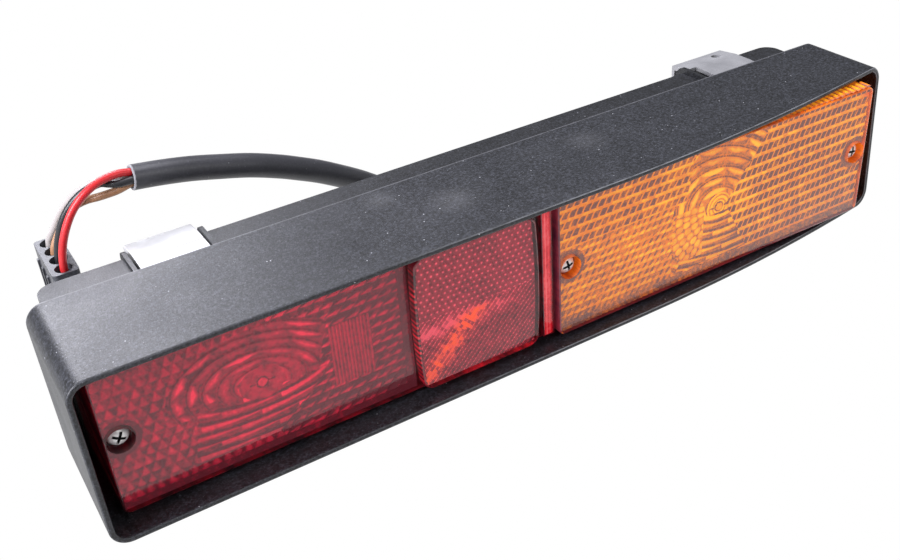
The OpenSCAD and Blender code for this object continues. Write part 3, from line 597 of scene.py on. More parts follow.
def prism(name, points, y0, y1, edge_mm, wells=()):
    """A solid with that outline from y0 (its face) to y1, face edges rounded, round wells sunk in."""
    bm = bmesh.new()
    face = [bm.verts.new(at(x, y0, z)) for x, z in points]
    rear = [bm.verts.new(at(x, y1, z)) for x, z in points]
    bm.faces.new(face)
    bm.faces.new(list(reversed(rear)))
    for k in range(len(points)):
        j = (k + 1) % len(points)
        bm.faces.new((face[j], face[k], rear[k], rear[j]))
    bmesh.ops.recalc_face_normals(bm, faces=bm.faces)
    rim = [e for e in bm.edges if all(v in set(face) for v in e.verts)]
    bmesh.ops.bevel(bm, geom=rim, offset=edge_mm / 1000, segments=3, affect="EDGES", profile=0.5)
    mesh = carve(to_mesh(bm, name), [well(x, z, r, y0, depth) for x, z, r, depth in wells])
    mesh.name = name
    smooth_faces(mesh)
    mesh.set_sharp_from_angle(angle=math.radians(35))
    return mesh


print("a rounded outline has", len(outline(0, 10, 0, 10, 2)), "points")

# %% [markdown]
# ## Lens skins and reliefs
# The front of a lens takes the clear coat and its walls take the dyed one, which is
# chosen by the way each face looks. The prisms behind it are a sheet of small squares
# whose height and tone are formulas of the place. Modelling thousands of prisms by hand
# would take days, and a picture of them would look flat from the side.

# %% Skins and reliefs
def lens_skin(name, mesh, coat, wall, slot, *nodes, shaded=None):
    """A lens: its flat front has the clear coat, and the rest is dyed wall, shaded left and below."""
    add_mesh(name, mesh, coat, slot, *nodes)
    mesh.materials.append(wall)
    mesh.materials.append(shaded or wall)
    left, _, foot = [min(v.co[k] for v in mesh.vertices) + 0.001 for k in range(3)]
    for polygon in mesh.polygons:
        outer = polygon.center.x < left or polygon.center.z < foot
        polygon.material_index = 0 if polygon.normal.y < -0.97 else 2 if outer else 1


def relief(name, x0, x1, v0, v1, height, tone, place, step, keep=None, warm=None):
    """A sheet over x and v, raised by height(x, v). place(x, v, h) gives its points in millimetres.

    Squares are step wide, and only those where keep(x, v) holds are made."""
    nx, nv = max(2, round((x1 - x0) / step)), max(2, round((v1 - v0) / step))
    x, v = np.meshgrid(np.linspace(x0, x1, nx + 1), np.linspace(v0, v1, nv + 1), indexing="ij")
    points = np.stack(np.broadcast_arrays(*place(x, v, height(x, v))), -1).reshape(-1, 3)
    index = np.arange((nx + 1) * (nv + 1)).reshape(nx + 1, nv + 1)
    corners = [index[:-1, :-1], index[1:, :-1], index[1:, 1:], index[:-1, 1:]]
    quads = np.stack(corners, -1).reshape(-1, 4)
    if keep is not None:
        quads = quads[keep(x, v).reshape(-1)[quads].all(1)]
    mesh = bpy.data.meshes.new(name)
    mesh.from_pydata(((points - np.array(ORIGIN)) / 1000).tolist(), [], quads.tolist())
    for attribute, formula in (("tone", tone), ("warm", warm or (lambda x, v: 0 * x))):
        values = formula(x, v).reshape(-1).astype(np.float32)
        mesh.attributes.new(attribute, "FLOAT", "POINT").data.foreach_set("value", values)
    smooth_faces(mesh)
    return mesh


def facing_front(y):
    """Places a relief in X and Z on the plane y, raised towards the front."""
    return lambda x, z, h: (x, y - h, z)


print("a relief is a sheet, and a skin goes over it")

# %% [markdown]
# ## Housing
# One black moulding, shot in a single tool: hood, swept rim, rear box and the pockets for
# the brackets. Light from above greys its grained skin, dust has settled on it, and three
# dull spots are left on its top. It could be modelled afresh, but the CAD solid already
# has the right form, so a softened copy of it is used.

# %% Housing
SMUDGES = [((143, -9, 75), 9, 0.16), ((168, -28, 75), 13, 0.16), ((242, -18, 75), 12, 0.14)]
RIM_Y, RIM_MM = -36, 1.0
# The hood gets painted highlights along its rear step at Y 0 and along its rim, with painted shade behind
# the step.
black = moulded("black_moulding", (0.01, 0.0105, 0.013), (0.016, 0.017, 0.021), (0.36, 0.52), 0.7, 0.1,
                speckle=0.8, specks=0.9, smudges=SMUDGES, painted_step_y=0.0)
soft_copy("housing", "housing_shell", black, "housing_black", 1.0, 3, 50, rim=(RIM_Y, RIM_MM))

# %% [markdown]
# ## Brackets and connector
# The brackets are strips of zinc-plated steel, folded over the rear box. Each copy gets
# narrow soft edges, as a press leaves them. The left one lies in full light: its zinc is
# painted pale, with a line of painted shade along a crease across its top. The right one
# is seen duller, its zinc painted darker as painted shade. The connector is nylon, which
# keeps its CAD shape and only has its edges rounded.

# %% Brackets and connector
# The left bracket lies in full light: its zinc is painted pale, with painted shade along the crease at Y
# 10.
zinc = plated("zinc_plate", (0.5, 0.5, 0.5), (0.64, 0.64, 0.64), (0.3, 0.45), (1, 0.1, 1), metal=0.35,
              fold_y=10.0)
# The right bracket has the same zinc painted darker: painted shade.
shaded_zinc = plated("shaded_zinc", (0.3, 0.3, 0.31), (0.4, 0.4, 0.41), (0.3, 0.45), (1, 0.1, 1), metal=0.35)
nylon = moulded("dark_nylon", (0.03, 0.031, 0.036), (0.055, 0.057, 0.066), (0.35, 0.5), 0.4, 0.02, 0.3, 0.3)
for node, finish in (("bracket_left", zinc), ("bracket_right", shaded_zinc)):
    soft_copy(node, node + "_strip", finish, "bracket_zinc", 0.35)
    print(node, "has soft edges")
dress("connector_body", nylon, 0.4)

# %% [markdown]
# ## Screws
# Three pan-headed screws hold the lenses, each at the bottom of a round well. A real one
# is pressed and rolled from wire. Here a half profile is spun round its axis, the
# quickest way to anything round, and two bars cut out the cross that a punch would
# press. The recess has a near-black metal of its own, painted shade, because little light
# finds its way into it.

# %% Shape of a screw
SCREWS = [(14.6, -46.5, 28), (209.85, -51.0, -12), (381.8, -51.0, 8)]
MID = 37.5
HEAD_R, HEAD_SUNK, WELL_R, WELL_DEPTH = 4.35, 1.9, 5.3, 4.9
RECESS_R, RECESS_TOP, RECESS_FLOOR, RECESS_END = 2.6, 0.3, 1.5, 2.3
CROSS_BAR_M = (0.0052, 0.003, 0.0011)
SCREW_PROFILE = [(0, 0), (1.3, 0.06), (2.4, 0.35), (3.3, 0.9), (3.9, 1.7), (HEAD_R, 2.5), (HEAD_R, 3.0),
                 (1.75, 3.0), (1.75, 13), (0.4, 15.5), (0, 15.5)]


def screw(x, y_face, turn_deg):
    """One screw, turned from its profile, with a cross cut into its head."""
    top = Vector((x, y_face + HEAD_SUNK, MID))
    bm = bmesh.new()
    line = [bm.verts.new(at(top.x + r, top.y + d, top.z)) for r, d in SCREW_PROFILE]
    edges = [bm.edges.new(pair) for pair in zip(line, line[1:])]
    bmesh.ops.spin(bm, geom=line + edges, cent=at(*top), axis=(0, 1, 0), angle=math.tau, steps=36)
    bmesh.ops.remove_doubles(bm, verts=bm.verts, dist=1e-6)
    bmesh.ops.recalc_face_normals(bm, faces=bm.faces)
    mesh = to_mesh(bm, "screw")
    cutters = []
    for quarter in (0, 90):
        bm = bmesh.new()
        spot = Matrix.Translation(at(*(top + Vector((0, 0.5, 0)))))
        spin = Matrix.Rotation(math.radians(turn_deg + quarter), 4, "Y")
        bar = Matrix.Diagonal((*CROSS_BAR_M, 1))
        bmesh.ops.create_cube(bm, size=1, matrix=spot @ spin @ bar)
        cutters.append(to_mesh(bm, "cross"))
    return carve(mesh, cutters)


def in_recess(polygon):
    """Whether a face of the screws lies in a recess, and isn't the head's own surface."""
    x, y, z = polygon.center * 1000 + ORIGIN
    near_x, near_y, _ = min(SCREWS, key=lambda place: abs(place[0] - x))
    deep = y - near_y - HEAD_SUNK
    inside = math.hypot(x - near_x, z - MID) < RECESS_R and RECESS_TOP < deep < RECESS_END
    return inside and (abs(polygon.normal.y) < 0.3 or deep > RECESS_FLOOR)


print("a screw's head is", 2 * HEAD_R, "mm across")

# %% Set of three screws
bm = bmesh.new()
for mesh in [screw(*place) for place in SCREWS]:
    bm.from_mesh(mesh)
screws = to_mesh(bm, "screw_set")
# The heads' zinc is near white and barely metallic: a painted reflection of bright surroundings.
screw_metal = plated("screw_zinc", (0.8, 0.79, 0.76), (1.0, 0.99, 0.96), (0.16, 0.3), metal=0.15)
# Painted shade: the cross recess gets a near-black metal of its own.
recess = plated("screw_recess_shade", (0.03, 0.03, 0.03), (0.09, 0.085, 0.08), (0.4, 0.6), metal=0.3)
add_mesh("screw_set", screws, screw_metal, "screw_zinc", "lens_screws")
screws.materials.append(recess)
for polygon in screws.polygons:
    polygon.material_index = 1 if in_recess(polygon) else 0
smooth_faces(screws)
screws.set_sharp_from_angle(angle=math.radians(35))
print(len(screws.polygons), "faces in the three screws")

# %% [markdown]
# ## Inner pieces and wires
# Behind the lenses are bright trays, bulbs in bayonet holders, contacts and leads. Hardly
# anything of them shows through the prisms, so they keep their plain CAD shapes and take
# the finish of the real stuff: brass, steel, brown laminate, rubber and blown glass. The
# insulation of the leads inside is the same as that of the wires outside.

# %% Finishes for the pieces that keep their CAD shape
rubber = moulded("black_rubber", (0.009, 0.0095, 0.0105), (0.018, 0.019, 0.021), (0.3, 0.46), 0.5, 0.02,
                 0.2, 0.35)
seal_green = moulded("seal_green", (0.03, 0.07, 0.04), (0.05, 0.11, 0.06), (0.4, 0.5), 0.5, 0.02)
bright = plated("bright_reflector", (0.8, 0.81, 0.83), (0.93, 0.94, 0.95), (0.06, 0.14))
brass = plated("bulb_brass", (0.62, 0.5, 0.27), (0.8, 0.67, 0.4), (0.25, 0.4))
board = moulded("phenolic_board", (0.16, 0.08, 0.035), (0.24, 0.13, 0.06), (0.5, 0.7), 0.3, 0.03)
steel = plated("holder_steel", (0.55, 0.56, 0.57), (0.7, 0.7, 0.7), (0.25, 0.4))
clear_glass = glass("clear_glass", (0.96, 0.97, 0.97), 0.04)
amber_glass = glass("amber_glass", (0.98, 0.62, 0.12), 0.1)
WIRE_COLOURS = {
    "red": ((0.5, 0.012, 0.016), (0.66, 0.03, 0.035)),
    "brown": ((0.3, 0.14, 0.065), (0.44, 0.24, 0.13)),
    "white": ((0.36, 0.33, 0.31), (0.48, 0.45, 0.43)),
    "black": ((0.012, 0.012, 0.013), (0.024, 0.024, 0.026)),
}
insulation = {}
for colour, tones in WIRE_COLOURS.items():
    insulation[colour] = moulded("insulation_" + colour, *tones, (0.28, 0.42), 0.7, 0.015)
FINISH = {
    rubber: ["lens_gasket", "cable_grommet"],
    bright: ["tail_reflector", "turn_reflector"],
    clear_glass: ["tail_bulb_glass"],
    amber_glass: ["turn_bulb_glass"],
    brass: ["tail_bulb_cap", "turn_bulb_cap", "tail_contacts", "turn_contact", "earth_strip"],
    steel: ["tail_holder", "turn_holder"],
    board: ["tail_contact_carrier", "turn_contact_carrier"],
    seal_green: ["connector_seals"],
    insulation["red"]: ["lead_stop"],
    insulation["brown"]: ["lead_tail"],
    insulation["white"]: ["lead_turn"],
    insulation["black"]: ["lead_earth"],
}
for finish, nodes in FINISH.items():
    for node in nodes:
        dress(node, finish)
vinyl = moulded("sleeve_vinyl", (0.04, 0.04, 0.046), (0.055, 0.055, 0.063), (0.34, 0.46), 0.5, 0.02,
                0.1, 0.5)
sleeve.data.materials.append(vinyl)
for node, wire in wires.items():
    wire.data.materials.append(insulation[node[5:]])
print(sum(len(nodes) for nodes in FINISH.values()), "CAD pieces have a finish of their own")

# %% [markdown]
# ## Cut end of the sleeve
# A knife leaves a paler, slightly rounded rim where the sleeve ends and the wires come
# out. A thin ring lies on that rim. It is a closed curve with a round bevel, turned to
# look along the cable.

# %% Cut end of the sleeve
LIP_RADIUS, LIP_WIRE, RING_POINTS = 4.85, 0.62, 40
end, before = Vector(SLEEVE[-1]), Vector(SLEEVE[-2])
along = (end - before).normalized()
across_a = along.cross(Vector((0, 0, 1))).normalized()
across_b = along.cross(across_a)
lip_data = bpy.data.curves.new("sleeve_lip", "CURVE")
lip_data.dimensions = "3D"
lip_data.bevel_depth = 1.0
lip_data.bevel_resolution = 4
ring = lip_data.splines.new("POLY")
ring.points.add(RING_POINTS - 1)
for k, point in enumerate(ring.points):
    a = math.tau * k / RING_POINTS
    point.co = (*at(*(end + LIP_RADIUS * (math.cos(a) * across_a + math.sin(a) * across_b))), 1)
    point.radius = LIP_WIRE / 1000
ring.use_cyclic_u = True
lip = placed("sleeve_lip", lip_data)
cut_rubber = moulded("cut_rubber", (0.2, 0.2, 0.21), (0.34, 0.34, 0.36), (0.5, 0.7), 0.5, 0.03)
lip_data.materials.append(cut_rubber)
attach(lip, "root")
print("the sleeve's cut edge is a ring of radius", LIP_RADIUS, "mm")

# %% [markdown]
# ## Optics
# A lens has a smooth outside and its prisms on the inside. Here the outside is a clear
# coat over a dyed wall, and the prisms are a fine relief just under it. Each kind of
# prism is a formula of its place on the lens, which gives a tone and a slope. These
# small tools cut a plane into cells, straight or round a centre, and shape what is in one.

# %% Small tools for patterns


def frac(v):
    """What is left after whole steps."""
    return v - np.floor(v)


def ramp(v, a, b):
    """0 up to a, 1 from b, and a straight rise between them."""
    return np.clip((v - a) / (b - a), 0, 1)


def band(v, a, b, soft=0.08):
    """1 between a and b, with soft ends."""
    return ramp(v, a, a + soft) * ramp(-v, -b, soft - b)


def blend(a, b, share):
    """a where share is 0, and b where it is 1."""
    return a + (b - a) * share


def dice(i, j):
    """A repeatable random number for each cell."""
    return frac(np.sin(i * 12.9898 + j * 78.233) * 43758.5453)


def grid(x, z, px, pz, stagger):
    """Place within a cell, across and up, and the cell's own number from 0 to 1."""
    row = np.floor(z / pz)
    across = x / px + stagger * row
    return frac(across), frac(z / pz), dice(np.floor(across), row)


def polar(dx, dz, pitch, arc_mm):
    """Place within a cell of a ring, along and outwards, and the cell's own number."""
    r = np.hypot(dx, dz)
    ring = np.floor(r / pitch)
    turns = np.arctan2(dz, dx) * (ring + 0.5) * pitch / arc_mm + 0.37 * ring
    return frac(turns), frac(r / pitch), dice(np.floor(turns), ring)


print("the first three cells draw", [round(float(dice(k, 1)), 2) for k in range(3)])

# %% [markdown]
# ## Prisms in rows
# Away from the bulb, a lens spreads light evenly with rows of small prisms: rounded
# triangles on the red side, and bright blocks with leaning notches on the amber one. The
# formulas follow the kind, pitch and slant that the photograph shows, and each prism
# draws its own brightness.

# %% Prisms in rows
def pillows(x, z, px, pz):
    """Staggered pyramids, each a bright rounded triangle on a darker ground."""
    u, v, own = grid(x, z, px, pz, 0.5)
    side = 1 - 2 * np.abs(u - 0.5)
    inside = ramp(1.15 * side - v, -0.05, 0.3) * ramp(v, 0.02, 0.16)
    return 0.26 + inside * (0.1 + 0.32 * own + 0.16 * (1 - u)), np.minimum(side, 1 - v)


def flags(x, z, px, pz, base, dark, light):
    """Rows of small bright flags, each with a dark slanted notch above it."""
    u, v, own = grid(x, z, px, pz, 0.35)
    slant = frac(u - 0.8 * v)
    notch = band(slant, 0.02, 0.3 + 0.36 * own) * band(v, 0.34, 0.98) * ramp(own, 0.1, 0.2)
    tone = blend(base + 0.16 * (own - 0.5), dark * (0.4 + 1.2 * own), notch)
    flag = band(v, 0.04, 0.5) * ramp(slant - 1.2 * v, 0.0, 0.12)
    return blend(tone, light + 0.36 * own, flag), slant * (1 - v)


def teeth(x, z, px, pz, deep):
    """Bright level bands, and between them a row of dark leaning notches."""
    u, v, own = grid(x, z, px, pz, 0.23)
    slant = frac(u - 0.45 * v - 0.35 * v * v)
    notch = band(slant, 0.18, 0.86, 0.05) * band(v, 0.02, 0.72, 0.06)
    tone = blend(0.6 + 0.2 * own, deep + 0.2 * own, notch)
    tone = blend(tone, 0.66 + 0.38 * own, band(v, 0.76, 0.98))
    return tone, np.where(v < 0.72, slant, 1 - v)


print("pillows, flags and teeth are ready")

# %% [markdown]
# ## Prisms in rings
# In front of a bulb the prisms lie in rings, which bend its light forward, much as in the
# lens of a lighthouse. Seen from outside they are crescents and long flashes, and below
# the centre they stretch to flat flames. Each kind works with the distance from the
# centre and the angle round it.

# %% Prisms in rings
def arcs(dx, dz, pitch, arc_mm):
    """Overlapping bright crescents that follow rings, each with a dark heart."""
    u, v, own = polar(dx + 0.25 * dz, dz, pitch, arc_mm)
    hump = np.sqrt(1 - np.abs(2 * u - 1))
    tone = 0.4 + 0.2 * (own - 0.5) + (0.35 + 0.4 * own) * band(v, 0.9 - 0.75 * hump, 0.94, 0.25)
    heart = band(v, 0.04, 0.1 + 0.3 * hump, 0.06) * ramp(own, 0.3, 0.4)
    tone = blend(tone, 0.05 + 0.25 * own, heart) - 0.4 * band(v, 0.93, 1.0, 0.03)
    return tone - 0.12 * band(frac(2 * v), 0.4, 0.55, 0.06), v


def rings(dx, dz, pitch):
    """Unbroken fine rings."""
    v = frac(np.hypot(dx, dz) / pitch)
    return 0.9 - 0.6 * band(v, 0.6, 1.0, 0.1), v


def streaks(dx, dz, pitch, arc_mm):
    """Long soft flashes that follow rings, each with a brightness of its own."""
    u, v, own = polar(dx + 0.2 * dz, dz, pitch, arc_mm)
    hump = np.sqrt(1 - np.abs(2 * u - 1))
    flash = band(v, 0.8 - 0.7 * hump, 0.9, 0.3)
    fine = band(frac(2 * v + 0.3 * u), 0.4, 0.6, 0.08)
    return 0.28 + flash * (0.1 + 0.7 * own) - 0.2 * band(v, 0.9, 1.0, 0.05) - 0.1 * fine, v


def petals(dx, dz, pitch, arc_mm):
    """Rounded cells in rings."""
    u, v, own = polar(dx, dz, pitch, arc_mm)
    away = np.hypot(u - 0.5, 0.9 * (v - 0.5))
    return blend(0.64 + 0.28 * own, 0.3, ramp(away, 0.36, 0.5)), 1 - away


def leaves(dx, dz, squash, pitch):
    """Long flat flames, each bright along its lower edge and dark above."""
    r = np.hypot(dx * squash, dz) / pitch
    piece = np.floor(dx / (6 * pitch) + 0.37 * np.floor(r))
    along = frac(dx / (6 * pitch) + 0.37 * np.floor(r))
    v, own = frac(r), dice(np.floor(r), piece)
    flame = band(v, 0.0, 0.1 + 0.5 * np.sqrt(1 - along), 0.12)
    tone = 0.3 + (0.35 + 0.4 * own) * flame - 0.22 * band(v, 0.62, 0.92, 0.1)
    return tone - 0.12 * band(frac(2 * r), 0.7, 0.9, 0.1), v


def choose(base, *layers):
    """Later layers cover earlier ones where their mask holds."""
    tone, slope = base
    for mask, (t, s) in layers:
        tone, slope = np.where(mask, t, tone), np.where(mask, s, slope)
    return tone, slope


print("arcs, rings, streaks, petals and leaves are ready")

# %% [markdown]
# ## Layout of the prisms
# Each lens is a quilt of zones: rings round the bulb, flames below them, rows to the left
# and right, a ribbed patch on the red one, and plain ground at the edges and round the
# screws. A zone is a mask over the lens, and later zones cover earlier ones. A last
# factor paints a glow on the lens in front of its bulb, and makes it darker towards its
# bottom and towards one end.

# %% Places on the lenses
RED_X = (8.3, 203.25)
AMBER_X = (203.55, 388.1)
LENS_Z = (4.2, 70.8)
LENS_R = 3.0
GROUND_R, HOLE_R = 8.2, 5.6
RED_Y, AMBER_Y = -46.5, -51.0
TAIL_X, TURN_X = 70.0, 294.4


def ring_mark(dx, dz, prisms):
    """The small round boss at the centre of the rings, with a tick on each side of it."""
    tone, slope = prisms
    r = np.hypot(dx, dz)
    tick = (np.abs(dz) < 0.4) & (r > 2.9) & (r < 5.4)
    edge = tick | (np.abs(r - 2.3) < 0.35)
    return np.where(edge, 0.1, np.where(r < 2.0, 0.6, tone)), slope


def plain_round_screws(x, z, prisms):
    """The smooth ground left round each screw's well."""
    tone, slope = prisms
    for sx, _, _ in SCREWS:
        near = np.hypot(x - sx, z - MID) < GROUND_R
        tone, slope = np.where(near, 0.16, tone), np.where(near, 0, slope)
    return tone, slope


def off_screws(x, z):
    """Where no screw's well is."""
    clear = np.ones(x.shape, bool)
    for sx, _, _ in SCREWS:
        clear &= np.hypot(x - sx, z - MID) > HOLE_R
    return clear


print("the lenses are", round(LENS_Z[1] - LENS_Z[0], 1), "mm high")

# %% Zones of the red lens
def red_prisms(x, z):
    """Tone and slope of the red lens's prisms."""
    dx, dz = x - TAIL_X, z - MID
    wavy = 0.3 * np.sin(z / 1.9) + 0.25 * np.sin(x / 3.1)
    oval = np.hypot(dx * 0.75, dz * 1.15)
    above = (oval < 29) & (dz > -4) & (dx < 24 + 0.3 * dz)
    below = (dz <= -4) & (dx > -26 + 0.2 * dz) & (dx < 34 + 1.2 * dz) & (dz > -26)
    lines = 0.26 + 0.3 * band(frac(x / 1.5), 0.1, 0.6), frac(x / 1.5)
    boxes = (x > 99) & (x < 117) & (z > 22) & (z < 50)
    upper_right = (dx > 16 - 0.4 * dz) & (dz > -10)
    lower_right = (dx > 4) & (dz <= -10)
    plain = 0.17 + 0 * x, 0 * x
    core = 0.36 + 0.1 * np.sin(x / 1.3) * np.sin(z / 1.7), 0 * x
    tone, slope = choose(
        pillows(x + wavy, z, 4.4, 4.3),
        (upper_right, flags(x + wavy, z, 5.6, 4.2, 0.2, 0.08, 0.5)),
        (lower_right, flags(x + wavy, z, 5.6, 4.2, 0.14, 0.08, 0.4)),
        (above, streaks(dx * 0.75, dz * 1.15, 4.4, 11.0)),
        (below, leaves(dx, dz, 0.3, 4.0)),
        (np.hypot(dx * 0.8, dz) < 7.5, core),
        (boxes, lines),
        ((x > 130) | (dz < -29), plain))
    return ring_mark(dx, dz, plain_round_screws(x, z, (tone, slope)))


def red_tone(x, z):
    """Their tone, with a painted glow in front of the bulb, and darker towards the right end and the
    bottom.
    """
    r = np.hypot(x - TAIL_X - 4, (z - MID - 5) * 1.2)
    glow = 0.72 + 0.4 * np.exp(-(r / 27) ** 2) - 0.1 * ramp(x, 112, 130) - 0.25 * ramp(-z, -24, -5)
    return red_prisms(x, z)[0] * glow


print("the red lens has its rings at", TAIL_X, "mm")

# %% Zones of the amber lens
def amber_prisms(x, z):
    """Tone and slope of the amber lens's prisms."""
    dx, dz = x - TURN_X, z - MID
    r = np.hypot(dx, dz)
    left = (dx < -27) & (dz < 9)
    upper_left = (dx < -22 + 0.2 * dz) & (dz >= 9)
    right = dx > 4 + np.where(dz > 0, 0.78 * dz, -0.55 * dz)
    below = (dz < -3) & (dx > -16 + 0.3 * dz) & (dz > -27)
    petal_zone = (dx < -9) & (r < 31) & (dz < 4) & (dz > -22)
    foot = 0.3 - 0.14 * band(frac(x / 3.3), 0.86, 1.0, 0.04), frac(x / 3.3)
    tone, slope = choose(
        arcs(dx * 0.86, dz, 5.3, 12.0),
        (r < 7, rings(dx, dz, 2.1)),
        (below, leaves(dx, dz + 0.1 * dx, 0.42, 4.2)),
        (petal_zone, petals(dx, dz, 4.3, 3.6)),
        (left, flags(x + 0.3 * np.sin(z / 2.3), z, 3.7, 3.9, 0.5, 0.2, 0.72)),
        (upper_left, teeth(x, z, 3.8, 4.7, 0.1)),
        (right, teeth(x, z, 3.4, 5.2, 0.0)),
        (dz < -28, foot))
    return ring_mark(dx, dz, plain_round_screws(x, z, (tone, slope)))


def amber_tone(x, z):
    """Their tone, with a painted glow in front of the bulb, and darker towards the bottom and the left end.
    """
    r = np.hypot(x - TURN_X - 2, (z - MID) * 0.9)
    glow = 0.84 + 0.26 * np.exp(-(r / 26) ** 2) - 0.3 * ramp(-z, -24, -5) - 0.1 * ramp(-x, -260, -215)
    return amber_prisms(x, z)[0] * glow


print("the amber lens has its rings at", TURN_X, "mm")

# %% [markdown]
# ## Red lens
# The stop and tail lens is one injection moulding: a flat plate with a turned-back wall,
# smooth outside, prisms inside. It is made of two pieces, a skin that takes the place of
# the CAD lens, and the sheet of prisms 1.6 mm behind its face. The coat is nearly clear,
# so the colour comes from the prisms and the dyed walls.

# %% Red lens
LENS_REAR_Y, LENS_EDGE = -4.0, 0.7
SINK, RIDGE = 1.6, 0.55
RED_OPTICS_END = 134.5
red_coat = clear_coat("red_coat", (0.97, 0.82, 0.84), (0.3, 0.05, 0.08), 0.03)
red_wall = dyed_wall("red_wall", (0.03, 0.002, 0.005), (0.3, 0.006, 0.018), 0.12)
red_optic = optic("red_optic", (0.09, 0.012, 0.02), (0.38, 0.012, 0.035), (0.86, 0.025, 0.07),
                  (1.0, 0.3, 0.1))
screw_wells = [(x, MID, WELL_R, WELL_DEPTH) for x, _, _ in SCREWS]
shell = prism("red_lens_skin", outline(*RED_X, *LENS_Z, LENS_R), RED_Y, LENS_REAR_Y, LENS_EDGE,
              screw_wells[:1])
lens_skin("red_lens_skin", shell, red_coat, red_wall, "lens_red", "red_lens")
sheet = relief("red_optics", RED_X[0] + 1, RED_OPTICS_END, LENS_Z[0] + 1, LENS_Z[1] - 1,
               lambda x, z: RIDGE * red_prisms(x, z)[1], red_tone,
               facing_front(RED_Y + SINK), 0.35, off_screws)
add_mesh("red_optics", sheet, red_optic, "lens_red")
print("red optics:", len(sheet.polygons), "faces")

# %% [markdown]
# ## Strip between the lenses
# Where the two lenses meet, the red one has a raised bar that shines brightly, because
# light that runs along the plate leaves it there. It is a narrow block of its own with a
# gently rounded relief under its coat.

# %% Strip between the lenses
STRIP_X, STRIP_Z = (196.6, 202.4), (5.2, 69.8)
PROUD, STRIP_SINK = 2.0, 0.8
strip_optic = optic("strip_optic", (0.16, 0.003, 0.01), (0.62, 0.008, 0.02), (0.95, 0.16, 0.17),
                    (1.0, 0.3, 0.1))
shell = prism("strip_skin", outline(*STRIP_X, *STRIP_Z, 0.6, 3), RED_Y - PROUD, RED_Y + 0.5, 0.5)
lens_skin("strip_skin", shell, red_coat, red_wall, "lens_red")


def across_strip(x):
    """0 at the strip's left edge, and 1 at its right one."""
    return (x - STRIP_X[0]) / (STRIP_X[1] - STRIP_X[0])


def strip_tone(x, z):
    """Two bright lines along the strip, and shade down both of its edges."""
    place = across_strip(x)
    lit = 0.4 * band(place, 0.3, 0.42, 0.05) + 0.3 * band(place, 0.6, 0.66, 0.04)
    shaded = 0.3 * ramp(place, 0.72, 0.84) + 0.2 * ramp(-place, -0.12, -0.04)
    return 0.5 + lit - shaded + 0.06 * np.sin(z / 4)


sheet = relief("strip_optics", STRIP_X[0] + 0.4, STRIP_X[1] - 0.4, STRIP_Z[0] + 0.5, STRIP_Z[1] - 0.5,
               lambda x, z: 0.4 * np.sin(np.pi * across_strip(x)), strip_tone,
               facing_front(RED_Y - PROUD + STRIP_SINK), 0.25)
add_mesh("strip_optics", sheet, strip_optic, "lens_red")
print("the strip stands", PROUD, "mm proud of the red face")

# %% [markdown]
# ## Reflex block
# The reflector sends headlights straight back with cube corners. In plain daylight they
# show as dots above and as a slanted lattice below, with a warm flash where they catch
# the light. Its long sides are bowed by a large radius, so its outline is drawn from arcs
# and not from a plain rounded rectangle.

# %% Reflex block
REFLEX_X, REFLEX_W, REFLEX_H, BOW = 163.85, 59.6, 64.2, 394.0
REFLEX_SHEET = (135, 193, 6.5, 68.5)


def reflex_outline():
    """The bowed outline of the reflex block."""
    half_width, r = REFLEX_W / 2, 5
    corner_z = REFLEX_H / 2 - r

    def bow(z):
        return half_width - BOW + math.sqrt(BOW * BOW - z * z)

    def corner(z, first, last):
        angles = np.radians(range(first, last, 15))
        return [(bow(corner_z) - r + r * math.cos(a), z + r * math.sin(a)) for a in angles]

    side = [(bow(z), z) for z in np.linspace(-0.75 * corner_z, 0.75 * corner_z, 7)]
    half = corner(-corner_z, -90, 1) + side + corner(corner_z, 0, 91)
    ring = half + [(-x, z) for x, z in reversed(half)]
    return [(REFLEX_X + x, MID + z) for x, z in ring]


def reflex_pattern(x, z):
    """Dots over the upper half and a slanted lattice under it: tone, slope and warmth."""
    dx, dz = x - REFLEX_X, z - MID
    u, v, own = grid(x, z, 2.75, 2.5, 0.5)
    away = np.hypot(u - 0.5, v - 0.5)
    dots = blend(0.26 + 0.1 * own, 0.85 + 0.15 * own, ramp(-away, -0.28, -0.1))
    p, q = frac((dx - dz) / 2.9), frac((dx + dz) / 2.2)
    own = dice(np.floor((dx - dz) / 2.9), np.floor((dx + dz) / 2.2))
    cube = band(p, 0.1, 0.46, 0.14) * (0.35 + 0.65 * band(q, 0.1, 0.7, 0.14))
    lattice = blend(0.14 + 0.16 * own, 0.7 + 0.3 * own, cube)
    near_line = np.exp(-((dz + 4 - 0.06 * dx) / 4.5) ** 2) * ramp(-dx, -24, -6)
    patch = np.exp(-((dx - dz - 1.0) / 6.5) ** 2) * ramp(-dz, 0, 3)
    lattice = lattice + 0.42 * np.maximum(near_line, patch) * (0.5 + own)
    upper = dz > 1.2
    slope = np.where(upper, 1 - away, p)
    return np.where(upper, dots, lattice), slope, np.where(upper, 0, patch * (0.3 + own))


def inside_reflex(x, z):
    """Where the block is, less a margin along its edge."""
    margin = 1.6
    w = REFLEX_W / 2 - margin - BOW + np.sqrt(BOW * BOW - (z - MID) ** 2)
    return (np.abs(x - REFLEX_X) < w) & (np.abs(z - MID) < REFLEX_H / 2 - margin)


